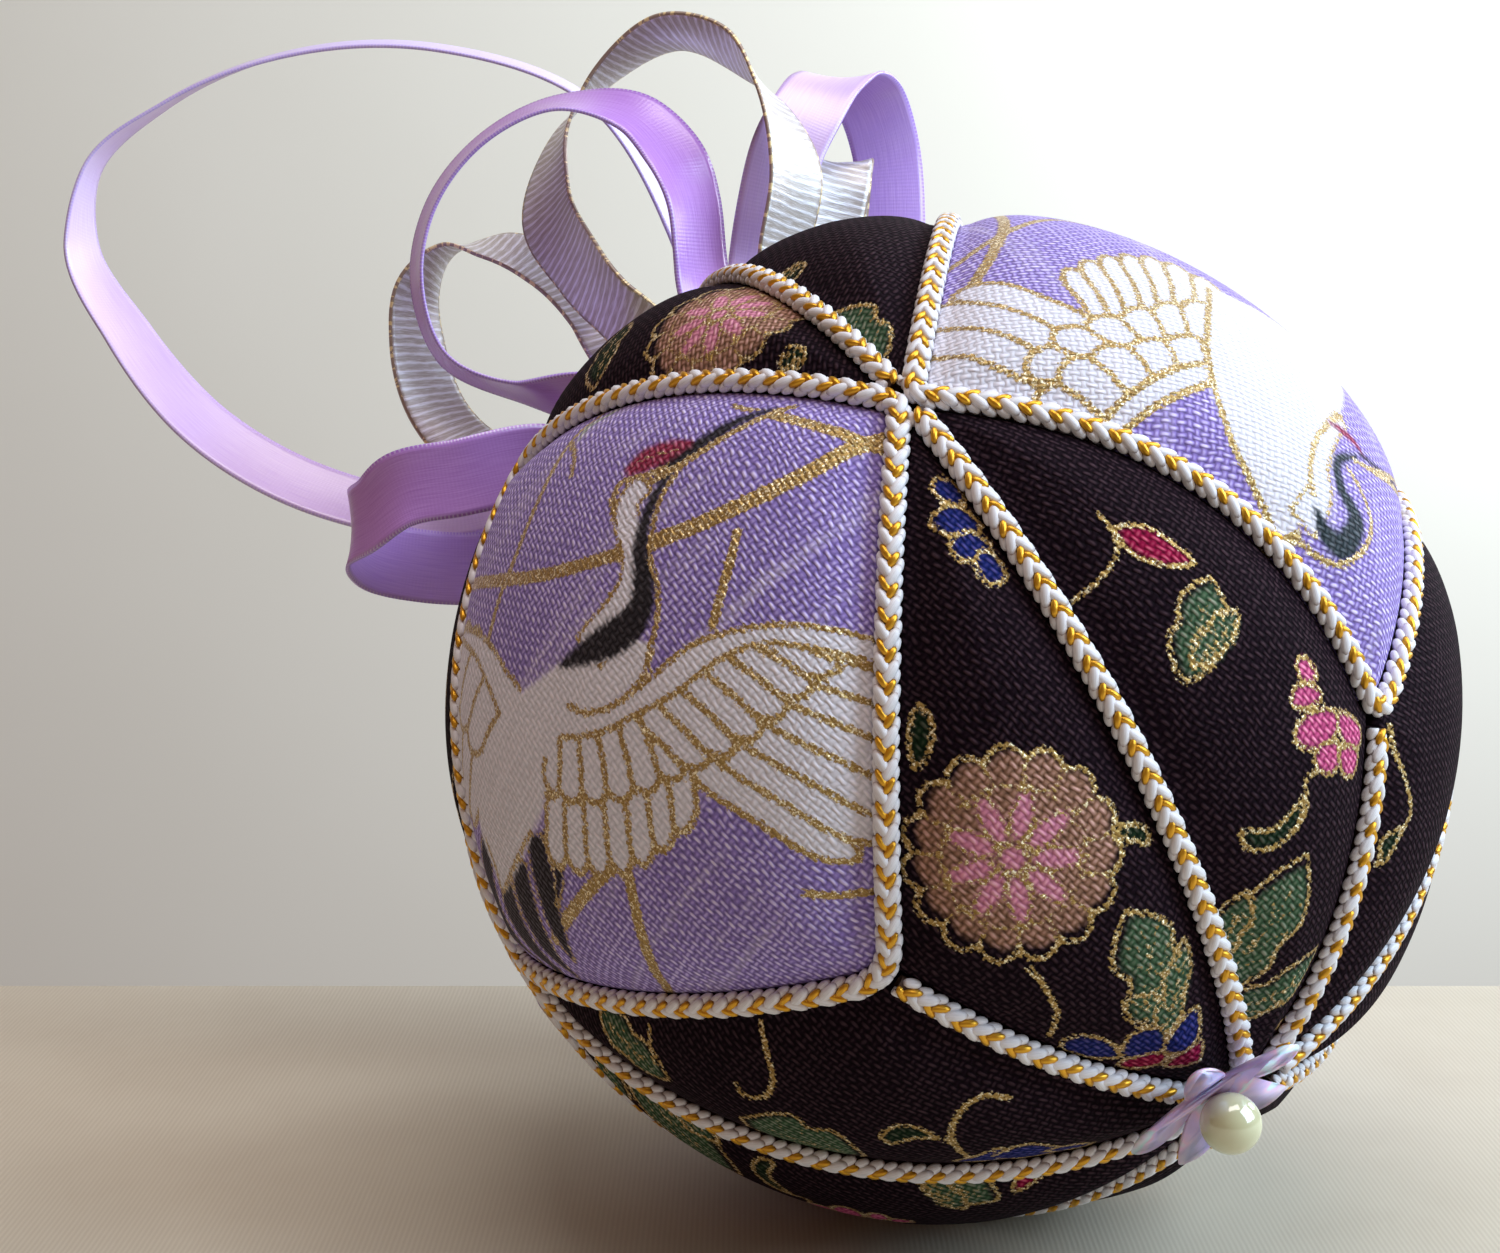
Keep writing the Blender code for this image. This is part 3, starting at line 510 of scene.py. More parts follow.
        ("leaf", "green", 46, ((10, -188), (51, -97))),
        ("leaf", "green", 22, ((5, -167), (13, -114))),
        ("leaf", "green", 30, ((24, -217), (90, -170))),
        ("petal", "red", ((83, -227), (109, -227), (121, -240), (100, -241))),
    ),
    "petal_low_7": (
        ("line", 4.5, ((-126, 29), (-125, 12), (-115, -12), (-108, -34), (-121, -50), (-136, -69))),
        ("petal", "deep_green", ((-116, -44), (-123, -59), (-132, -67), (-133, -50))),
    ),
    "petal_low_2": (
        ("leaf", "green", 32, ((-183, 30), (-125, 9))),
        ("line", 4.5, ((-41, 86), (-36, 65), (-34, 44), (-42, 27), (-57, 22), (-62, 32))),
        ("line", 4, ((-134, 48), (-132, 34), (-129, 19))),
        ("leaf", "green", 72, ((6, -42), (-60, -12))),
        ("line", 5, ((119, 26), (103, 33), (87, 23), (78, -1), (83, -29), (91, -47))),
        ("petal", "deep_green", ((32, -2), (43, 11), (58, 9), (69, -4), (54, -3), (38, -11))),
        ("line", 3.5, ((69, -4), (78, -14), (84, -32))),
        ("petal", "blue", ((73, -49), (91, -35), (109, -25), (112, -48), (92, -59)), ((101, -40),
            (123, -25), (144, -40), (147, -60), (118, -63)), ((135, -47), (156, -44), (168, -57),
            (160, -68))),
    ),
    "petal_high_1": (
        ("bloom", 64, (124, 27)),
        ("leaf", "deep_green", 34, ((45, -64), (2, -20))),
        ("leaf", "deep_green", 16, ((216, 33), (213, 51))),
    ),
    "petal_high_8": (
        ("leaf", "green", 44, ((259, 10), (201, -5))),
        ("leaf", "deep_green", 20, ((115, -14), (106, -36))),
    ),
}
# The patches cut from the same print elsewhere: whose print, its turn in degrees and its shift in
# tenths of a millimetre
CUT_FROM = {
    "diamond_2": ("diamond_1", 155, (30, 20)),
    "diamond_3": ("diamond_4", -75, (-30, 40)),
    "petal_low_3": ("petal_low_8", 250, (20, 30)),
    "petal_low_4": ("petal_low_1", -95, (30, 10)),
    "petal_low_5": ("petal_low_8", 100, (-40, 20)),
    "petal_low_6": ("petal_low_1", 160, (20, 40)),
    "petal_high_2": ("petal_low_8", 185, (30, -20)),
    "petal_high_3": ("petal_low_1", 20, (40, 30)),
    "petal_high_4": ("petal_low_8", -10, (20, -50)),
    "petal_high_5": ("petal_low_1", 175, (-20, 30)),
    "petal_high_6": ("petal_low_8", -85, (-50, 10)),
    "petal_high_7": ("petal_low_1", 85, (50, -10)),
}


def rounded(points, closed=False):
    """More points, on a smooth curve through the given ones."""
    points = np.array(points, float)
    if len(points) < 3:
        return points
    if closed:
        rows = np.concatenate([points[-1:], points, points[:2]])
    else:
        rows = np.concatenate([2 * points[:1] - points[1:2], points, 2 * points[-1:] - points[-2:-1]])
    t = np.linspace(0, 1, CURVE_STEPS, endpoint=False)[:, None]
    made = []
    for a, b, c, d in zip(rows, rows[1:], rows[2:], rows[3:]):
        bend, twist = a - 2.5 * b + 2 * c - 0.5 * d, 1.5 * (b - c) + 0.5 * (d - a)
        made.append(b + 0.5 * t * (c - a) + t**2 * bend + t**3 * twist)
    return np.concatenate(made if closed else [*made, points[-1:]])


def places_near(cloth, points):
    """The numbers of the places round some points, and those places."""
    low, high = points.min(axis=0) - PLACES_ROUND, points.max(axis=0) + PLACES_ROUND
    near = np.nonzero(((cloth["places"] > low) & (cloth["places"] < high)).all(axis=1))[0]
    return near, cloth["places"][near]


def within(places, outline):
    inside = np.zeros(len(places), bool)
    for (x0, y0), (x1, y1) in zip(outline, np.roll(outline, -1, axis=0)):
        crosses = (y0 > places[:, 1]) != (y1 > places[:, 1])
        inside ^= crosses & (places[:, 0] < x0 + (places[:, 1] - y0) * (x1 - x0) / (y1 - y0 + 1e-12))
    return inside


def print_shape(cloth, ink, gold, outline):
    """Flat ink inside an outline, over what is printed there, and a gold edge of that width."""
    near, places = places_near(cloth, outline)
    edge = near_path(places, np.concatenate([outline, outline[:1]]))
    inside = within(places, outline)
    cover = np.clip(0.5 - np.where(inside, -edge, edge) / SOFT_EDGE, 0, 1)[:, None]
    cloth["ink"][near] = cloth["ink"][near] * (1 - cover) + np.array(INKS[ink]) * cover
    kept = np.where(inside, np.maximum(cloth["gold"][near], edge), cloth["gold"][near])
    cloth["gold"][near] = np.minimum(kept, edge - gold / 2) if gold else kept


def print_line(cloth, width, points):
    line = rounded(points)
    near, places = places_near(cloth, line)
    cloth["gold"][near] = np.minimum(cloth["gold"][near], near_path(places, line) - width / 2)


def print_round(cloth, width, outline):
    print_line(cloth, width, np.concatenate([outline, outline[:1]])[::3])


def print_taper(cloth, ink, gold, widths, points):
    """A stroke that swells and narrows, such as a neck, a beak or a tail feather."""
    line = rounded(points)
    ahead = np.gradient(line, axis=0)
    side = unit(np.stack([-ahead[:, 1], ahead[:, 0]], axis=1))
    half = np.interp(np.linspace(0, 1, len(line)), np.linspace(0, 1, len(widths)), widths)[:, None] / 2
    print_shape(cloth, ink, gold, np.concatenate([line + side * half, (line - side * half)[::-1]]))


def print_fan(cloth, count, ink, roots, tips):
    """Feathers side by side, each with a rounded tip, from a line of roots to a line of tips."""
    root, tip = [
        rows_at(np.linspace(0, walked(line)[-1], 2 * count + 1), walked(line), line)
        for line in (rounded(roots), rounded(tips))
    ]
    for i in range(0, 2 * count, 2):
        left, right = ([root[j] * (1 - t) + tip[j] * t for t in (0, 0.5, 0.87)] for j in (i, i + 2))
        end = tip[i + 1] + (tip[i + 1] - root[i + 1]) * 0.03
        print_shape(cloth, ink, FEATHER_GOLD, rounded([*left, end, *right[::-1]], closed=True))


def print_petals(cloth, ink, *outlines):
    """Inked shapes that fall a little short of their gold outlines."""
    for points in outlines:
        outline = rounded(points, closed=True)
        middle = outline.mean(axis=0)
        print_shape(cloth, ink, 0, middle + (outline - middle) * INK_IN_PETAL)
        print_round(cloth, PETAL_GOLD, outline)


def ring(centre, radius, count, pull):
    """A scalloped round of that many petals."""
    angle = np.linspace(0, 2 * math.pi, 12 * count, endpoint=False)
    reach = radius * (1 - pull + pull * np.abs(np.cos(angle * count / 2)) ** 0.7)
    return np.array(centre) + np.stack([np.cos(angle), np.sin(angle)], axis=1) * reach[:, None]


def spokes(centre, radius, count, shift, shares):
    """Lines outwards from a bloom's middle, each with a point at each share of the radius."""
    for i in range(count):
        angle = 2 * math.pi * (i + shift) / count
        out = np.array([math.cos(angle), math.sin(angle)])
        yield [centre + out * radius * share for share in shares]


def print_bloom(cloth, radius, centre):
    centre = np.array(centre)
    print_shape(cloth, "aubergine", PETAL_GOLD, ring(centre, radius, BLOOM_PETALS, 0.14))
    print_shape(cloth, "tan", 0, ring(centre + (2.5, 3), radius * 0.9, BLOOM_PETALS, 0.10))
    for line in spokes(centre, radius, BLOOM_PETALS, 0.5, (0.62, 0.87)):
        print_line(cloth, 3, line)
    print_line(cloth, 2.2, ring(centre, radius * 0.66, BLOOM_HEART * 2, 0.05))
    for line in spokes(centre, radius, BLOOM_HEART, 0, (0.17, 0.36, 0.60)):
        print_taper(cloth, "rose", 2.8, (5, 13, 12.5, 7), line)
    print_shape(cloth, "rose", 3, ring(centre, radius * 0.12, 6, 0.1))


def print_leaf(cloth, ink, width, points):
    """A lobed leaf from its stalk to its tip, with veins."""
    base, tip = np.array(points)
    along = tip - base
    side = unit(np.array([-along[1], along[0]]))
    shares = (0.0, 0.18, 0.36, 0.50, 0.66, 0.84, 1.0)
    lobes = (0.1, 0.36, 0.47, 0.37, 0.48, 0.34, 0.05)
    left = [base + along * t + side * width * lobe for t, lobe in zip(shares, lobes)]
    right = [base + along * t - side * width * lobe * 0.95 for t, lobe in zip(shares, lobes)]
    outline = rounded(left + right[::-1], closed=True)
    middle = outline.mean(axis=0)
    print_shape(cloth, ink, 0, outline)
    print_round(cloth, 4, middle + (outline - middle) * 1.16 + side * 2)
    print_line(cloth, 2, [base, base + along * 0.5 + side, base + along * 0.86])
    for t in (0.12, 0.34, 0.56):
        for vein in (side * width, -side * width):
            bend, end = base + along * (t + 0.16) + vein * 0.16, base + along * (t + 0.26) + vein * 0.33
            print_line(cloth, 1.5, [base + along * t, bend, end])


PRINTERS = {
    "line": print_line,
    "taper": print_taper,
    "fan": print_fan,
    "petal": print_petals,
    "bloom": print_bloom,
    "leaf": print_leaf,
    "shape": lambda cloth, ink, gold, points: print_shape(cloth, ink, gold, rounded(points, closed=True)),
}


def printed(name, ground, places_mm):
    """The ink and the gold at each place of a patch. Gold is how far the place lies outside the
    nearest gold edge or line, in mm, and less than 0 on it."""
    source, turn, shift = CUT_FROM.get(name, (name, 0, (0, 0)))
    c, s = math.cos(math.radians(turn)), math.sin(math.radians(turn))
    cloth = {
        "places": (places_mm * 10 - np.array(shift)) @ np.array([[c, -s], [s, c]]),
        "ink": np.tile(np.array(INKS[ground], float), (len(places_mm), 1)),
        "gold": np.full(len(places_mm), 10.0),
    }
    for kind, *row in PRINTS[source]:
        PRINTERS[kind](cloth, *row)
    return cloth["ink"], cloth["gold"] / 10


def cloth_face(middle, outline):
    """The face of a patch as a mesh, first its rim and then rows of even triangles inside, and
    each corner's place on the flat map."""
    closed = np.concatenate([outline, outline[:1]])
    rim = to_map(middle, pulled_in(middle, outline, SEAM_IN))
    low, high = rim.min(axis=0), rim.max(axis=0)
    across = np.arange(low[0], high[0], CLOTH_STEP)
    up = np.arange(low[1], high[1], CLOTH_STEP * ROW_APART)
    grid = np.array([(x + CLOTH_STEP / 2 * (j % 2), y) for j, y in enumerate(up) for x in across])
    grid = grid[from_seam(from_map(middle, grid), closed) > SEAM_IN + 0.6 * CLOTH_STEP]
    places = np.concatenate([rim, grid]).tolist()
    made = delaunay_2d_cdt(places, [], [list(range(len(rim)))], 1, 1e-7)
    places = np.array([list(place) for place in made[0]])
    directions = from_map(middle, places)
    height = cushion_height(from_seam(directions, closed))[:, None]
    points = BALL_CENTRE + directions @ BALL_AXES.T * height
    points[:, 2] = np.where(points[:, 2] < FLAT_SPOT_DEPTH / 2, 0, points[:, 2])
    mesh = bpy.data.meshes.new("cloth_face")
    mesh.from_pydata(points.tolist(), [], made[2])
    return mesh, places


def add_patch(name, outline, cloth):
    apart = np.linalg.norm(np.diff(np.concatenate([outline, outline[:1]]), axis=0), axis=1) > TINY
    outline = trimmed(np.concatenate([outline[apart], outline[apart][:1]]), 0, 0, RIM_POINTS)[:-1]
    middle = unit(outline.mean(axis=0))
    face, places = cloth_face(middle, outline)
    bm = bmesh.new()
    bm.from_mesh(face)
    bpy.data.meshes.remove(face)
    bmesh.ops.recalc_face_normals(bm, faces=bm.faces)
    rim = [edge for edge in bm.edges if edge.is_boundary]
    inner = bmesh.ops.extrude_edge_only(bm, edges=rim)["geom"]
    inner = [corner for corner in inner if isinstance(corner, bmesh.types.BMVert)]
    for corner in inner:
        corner.co = BALL_CENTRE + BALL_AXES @ middle * ROOT
    bmesh.ops.remove_doubles(bm, verts=inner, dist=TINY)
    bmesh.ops.recalc_face_normals(bm, faces=bm.faces)
    piece = add_piece(name + "_cloth", bm, [COTTONS[cloth]])
    mesh = piece.data
    places_mm = np.zeros((len(mesh.vertices), 2))
    places_mm[: len(places)] = places / MM
    corners = np.zeros(len(mesh.loops), np.int32)
    mesh.loops.foreach_get("vertex_index", corners)
    uv = mesh.uv_layers.new(name="cloth")
    uv.data.foreach_set("uv", (0.5 + places_mm[corners] / CLOTH_SPAN_MM).ravel())
    ink, gold = printed(name, GROUNDS[cloth], places_mm)
    colours = mesh.color_attributes.new("ink", "FLOAT_COLOR", "POINT")
    colours.data.foreach_set("color", np.column_stack([ink, np.ones(len(ink))]).ravel())
    mesh.attributes.new("gold", "FLOAT", "POINT").data.foreach_set("value", gold)
    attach(piece, "root")
    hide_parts(name)


WARP_PITCH_MM = 0.42
WEFT_PITCH_MM = 0.56
THREAD_TURN = math.radians(-50)


def thread_tops(tree, threads, axis, phase, proud):
    """How high the threads of one direction lie: round across, and over and under along."""
    along, across = part(tree, threads, 1 - axis), part(tree, threads, axis)
    round_top = sums(tree, "ABSOLUTE", sums(tree, "SINE", sums(tree, "MULTIPLY", across, math.pi)))
    round_top = sums(tree, "POWER", round_top, 1.4)
    steps = sums(tree, "ADD", along, sums(tree, "FLOOR", across))
    over = sums(tree, "SINE", sums(tree, "MULTIPLY_ADD", steps, math.pi, phase))
    over = sums(tree, "MULTIPLY_ADD", over, 0.42, 0.58)
    yarn = noise(tree, stretched(tree, threads, (0.06, 0.9, 1) if axis else (0.9, 0.06, 1)), 1.0, 3)
    thick = sums(tree, "MULTIPLY_ADD", yarn, 1.0, proud - 0.5)
    return sums(tree, "MULTIPLY", sums(tree, "MULTIPLY", round_top, over), thick)


def cotton(name, highlight_tint, gloss, slub, haze):
    """Plain weave: each thread passes over one and under the next; painted shade darkens the gaps and a
    painted highlight lightens the thread tops. The ink soaks in, the gold paste lies on top in grains,
    the brightest of them painted glints."""
    made, tree, shader = named_material(
        name, Specular_IOR_Level=gloss, Sheen_Weight=haze, Sheen_Roughness=0.5, Sheen_Tint=(0.85, 0.75, 1, 1)
    )
    in_mm = stretched(tree, node(tree, "UVMap", uv_map="cloth").outputs["UV"], (CLOTH_SPAN_MM,) * 3)
    uneven = node(tree, "TexNoise", Vector=in_mm, Scale=0.35, Detail=2).outputs["Color"]
    drift = node(tree, "VectorMath", operation="SCALE", _0=uneven, Scale=0.7).outputs[0]
    drawn = node(tree, "VectorMath", operation="ADD", _0=in_mm, _1=drift).outputs[0]
    drawn = stretched(tree, drawn, turn=THREAD_TURN)
    threads = stretched(tree, drawn, (1 / WARP_PITCH_MM, 1 / WEFT_PITCH_MM, 1))
    warp = thread_tops(tree, threads, 0, 0, 1)
    weave = sums(tree, "MAXIMUM", warp, thread_tops(tree, threads, 1, math.pi, 0.62))
    spun = noise(tree, threads, 1.3, 3)
    ink = node(tree, "Attribute", attribute_name="ink").outputs["Color"]
    pale = node(tree, "RGBToBW", Color=ink).outputs[0]
    # Painted shade: darker in the gaps between the threads and lighter on their tops, less so for pale inks.
    shade = sums(tree, "MULTIPLY_ADD", weave, 1.15, 0.2)
    shade = sums(tree, "MULTIPLY", shade, sums(tree, "MULTIPLY_ADD", spun, 0.9, 0.55))
    pale_ink_shade_lift = node(tree, "MapRange", Value=pale, From_Min=0.25, From_Max=0.7, To_Max=0.62).outputs[0]
    shade = sums(tree, "ADD", shade, sums(tree, "MULTIPLY", pale_ink_shade_lift, sums(tree, "SUBTRACT", 1, shade)))
    ink_with_painted_shade = node(tree, "VectorMath", operation="SCALE", _0=ink, Scale=shade).outputs[0]
    streak = noise(tree, stretched(tree, threads, (0.02, 0.35, 1)), 1.0, 3)
    worn = node(tree, "MapRange", Value=streak, From_Min=0.55, From_Max=0.78, To_Max=slub).outputs[0]
    # Painted highlight on the thread tops in the highlight tint, together with the cloth's lighter worn
    # streaks.
    top = node(tree, "MapRange", Value=weave, From_Min=0.42, From_Max=0.85).outputs[0]
    top = sums(tree, "MULTIPLY_ADD", top, sums(tree, "MULTIPLY", spun, 2), worn)
    share = sums(tree, "MINIMUM", sums(tree, "MULTIPLY_ADD", pale, 1.4, 0.03), 0.55)
    lit = mixed(tree, sums(tree, "MULTIPLY", top, share), ink_with_painted_shade, (*highlight_tint, 1))
    grain = part(tree, node(tree, "TexVoronoi", Vector=in_mm, Scale=8.5).outputs["Color"], 0)
    edge = node(tree, "Attribute", attribute_name="gold").outputs["Fac"]
    edge = sums(tree, "ADD", edge, sums(tree, "MULTIPLY_ADD", noise(tree, in_mm, 4, 2), 0.5, -0.25))
    edge = sums(tree, "ADD", edge, sums(tree, "MULTIPLY_ADD", weave, -0.16, 0.1))
    paste = node(tree, "MapRange", Value=edge, From_Min=0.05, From_Max=-0.05).outputs[0]
    # The gold paste's grain tone; its brightest grains are painted glints.
    glint = ramp(
        tree, grain, (0.35, (0.36, 0.225, 0.065)), (0.75, (0.56, 0.375, 0.14)), (0.92, (1.0, 0.89, 0.62))
    )
    height = sums(tree, "ADD", weave, sums(tree, "MULTIPLY", sums(tree, "MULTIPLY", grain, paste), 0.5))
    paint(tree, shader, mixed(tree, paste, lit, glint), height, 0.9, 0.12 * MM)
    tree.links.new(sums(tree, "MULTIPLY", paste, 0.45), shader.inputs["Metallic"])
    tree.links.new(sums(tree, "MULTIPLY_ADD", paste, -0.42, 0.82), shader.inputs["Roughness"])
    return made


COTTONS = {
    "lavender_cotton": cotton("lavender_cotton_print", (0.95, 0.90, 1.0), 0.2, 0.5, 0.15),
    "dark_cotton": cotton("dark_cotton_print", (0.74, 0.48, 0.50), 0.06, 0.0, 0.0),
}
for name, outline, cloth in patch_outlines():
    add_patch(name, outline, cloth)

# The cords: a braid of white silky strands and narrower gold lamé ones, glued down over the
# seams. Four closed rings go round the diamonds, and 16 straight lengths run out from the poles.
TURN_LENGTH = 1.95 * MM
CORD_CORE = 0.58 * MM
HUMP_DIVE = math.radians(8)
LONG_CORD_SHORT_OF_SIDE = 1.3 * MM
SHORT_CORD_SHORT_OF_TIP = 0.5 * MM
CORD_START_FROM_POLE = 3.3 * MM
PLACES_IN_TURN = 8
# Each strand hump of a turn: turn round the cord in degrees, place along it as a share of the
# turn, slant in degrees, half sizes along, across and out in mm, and 1 for white or 2 for gold
HUMPS = (
    (28, 0.00, 30, (0.86, 0.40, 0.34), 1),
    (-28, 0.25, -30, (0.86, 0.40, 0.34), 1),
    (23, 0.50, 32, (0.66, 0.27, 0.33), 2),
    (-23, 0.75, -32, (0.66, 0.27, 0.33), 2),
    (76, 0.64, 24, (0.62, 0.38, 0.31), 1),
    (-76, 0.89, -24, (0.62, 0.38, 0.31), 1),
    (76, 0.14, 24, (0.55, 0.32, 0.28), 1),
    (-76, 0.39, -24, (0.55, 0.32, 0.28), 1),
)


def one_turn():
    """One repeat of the braid along X, with its upper side towards Z."""
    bm = bmesh.new()
    bm.loops.layers.uv.new("strand")
    lie_down = Matrix.Rotation(math.pi / 2, 4, "Y")
    for around, along, slant, sizes, colour in HUMPS:
        put = (
            Matrix.Translation((along * TURN_LENGTH, 0, 0))
            @ Matrix.Rotation(math.radians(around), 4, "X")
            @ Matrix.Translation((0, 0, CORD_CORE))
            @ Matrix.Rotation(math.radians(slant), 4, "Z")
            @ Matrix.Rotation(HUMP_DIVE, 4, "Y")
            @ Matrix.Diagonal((*(size * MM for size in sizes), 1))
            @ lie_down
        )
        before = set(bm.faces)
        bmesh.ops.create_uvsphere(bm, u_segments=8, v_segments=6, radius=1, matrix=put, calc_uvs=True)
        for face in set(bm.faces) - before:
            face.material_index = colour
    # A core tube under the humps; its dark brown shows in the gaps as painted shade.
    tube = Matrix.Translation((TURN_LENGTH / 2, 0, 0)) @ lie_down
    tube_sizes = {"radius1": CORD_CORE, "radius2": CORD_CORE, "depth": TURN_LENGTH}
    bmesh.ops.create_cone(bm, segments=8, cap_ends=False, matrix=tube, **tube_sizes)
    made = bpy.data.meshes.new("turn")
    bm.to_mesh(made)
    bm.free()
    return made


def laid_on(path, flat, length, closed):
    """Points of a straight cord along X, laid along a path over the ball."""
    share = flat[:, 0] / length
    share = share % 1 if closed else np.clip(share, 0, 1)
    ahead = np.gradient(path, axis=0)
    if closed:
        ahead[0] = ahead[-1] = path[1] - path[-2]
    marks = np.linspace(0, 1, len(path))
    out = unit(rows_at(share, marks, path))
    ahead = rows_at(share, marks, ahead)
    side = unit(np.cross(out, ahead))
    points = BALL_CENTRE + (out * (CORD_CENTRE + flat[:, 2:]) + side * flat[:, 1:2]) @ BALL_AXES.T
    points[:, 2] = np.maximum(points[:, 2], 0)
    return points


def add_braid(name, directions, closed=False):
    apart = np.linalg.norm(np.diff(directions, axis=0), axis=1) > TINY
    directions = directions[np.concatenate([[True], apart])]
    turns = round(walked(directions)[-1] * CORD_CENTRE / TURN_LENGTH)
    path = trimmed(directions, 0, 0, PLACES_IN_TURN * turns + 1)
    bm = bmesh.new()
    bm.loops.layers.uv.new("strand")
    for i in range(turns):
        before = len(bm.verts)
        bm.from_mesh(ONE_TURN)
        bm.verts.ensure_lookup_table()
        bmesh.ops.translate(bm, verts=bm.verts[before:], vec=(i * TURN_LENGTH, 0, 0))
    flat = np.array([corner.co[:] for corner in bm.verts])
    for corner, point in zip(bm.verts, laid_on(path, flat, TURN_LENGTH * turns, closed)):
        corner.co = point
    bmesh.ops.remove_doubles(bm, verts=bm.verts, dist=TINY)
    piece = add_piece(name + "_braid", bm, STRANDS)
    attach(piece, "root")
    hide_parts(name)


def strand(name, colour, crease_shade, roughness, metallic):
    """Silky or metal-wound fibres, lying along the strand, with painted shade where they dip under the next.
    """
    made, tree, shader = named_material(name, Roughness=roughness, Metallic=metallic)
    place = node(tree, "UVMap", uv_map="strand").outputs["UV"]
    fibre = noise(tree, stretched(tree, place, (40, 1.5, 1)), 1.0, 2)
    shade = ramp(tree, fibre, (0.3, [0.72 * share for share in colour]), (0.7, colour))
    off_middle = sums(tree, "ABSOLUTE", sums(tree, "SUBTRACT", part(tree, place, 1), 0.5))
    # Painted shade: the crease colour towards both ends of each hump, where it dips under the next.
    dip_shade = node(tree, "MapRange", Value=off_middle, From_Min=0.24, From_Max=0.46, To_Max=0.9).outputs[0]
    paint(tree, shader, mixed(tree, dip_shade, shade, (*crease_shade, 1)), fibre, 0.5, 0.04 * MM)
    return made


STRANDS = [
    # The core's dark brown is painted shade between the strands.
    named_material("braid_core_painted_shade", Roughness=0.7, Base_Color=(0.05, 0.022, 0.012, 1))[0],
    strand("white_strand", (0.95, 0.94, 1.0), (0.24, 0.14, 0.13), 0.42, 0.0),
    strand("gold_strand", (0.92, 0.47, 0.035), (0.17, 0.055, 0.006), 0.30, 0.7),
]
ONE_TURN = one_turn()
for index in range(4):
    loop = np.concatenate(diamond_quarters(index))
    add_braid(f"ring_cord_{index + 1}", np.concatenate([loop, loop[:1]]), closed=True)
for half, tips in (("low", LOW_CORNERS), ("high", HIGH_CORNERS)):
    for index in range(4):
        for name, corner, short_of in (
            ("long_cord", SIDE_CORNERS[index], LONG_CORD_SHORT_OF_SIDE),
            ("short_cord", tips[index], SHORT_CORD_SHORT_OF_TIP),
        ):
            line = great_arc(POLES[half], on_ball(*corner))
            add_braid(f"{name}_{half}_{index + 1}", trimmed(line, CORD_START_FROM_POLE, short_of))
bpy.data.meshes.remove(ONE_TURN)

# The ribbons: lengths of satin and of silver ribbon, each folded into a loop, gathered at both
# ends and pinned down at the upper pole. The longest satin one is the loop to hang the ball by.
RIBBON_WIDTH = 6.4 * MM
RIBBON_THICKNESS = 0.3 * MM
RIBBON_STEP = 0.6 * MM
RIBBON_COLUMNS = 12
RIBBON_CUP = 0.25 * MM
RIBBON_SPAN = 200 * MM
FOOT_HEIGHTS = (39.1 * MM, 40.45 * MM)
FOOT_INNER = 1.9 * MM
FOOT_FAN = math.tan(math.radians(16.5))
FEET_APART = 0.4 * MM
VIEW_FROM_BALL = (-14.9 * MM, 6.7 * MM, -173.6 * MM)
SATIN_RIB_MM = 0.32
SILVER_RIB_MM = 0.8
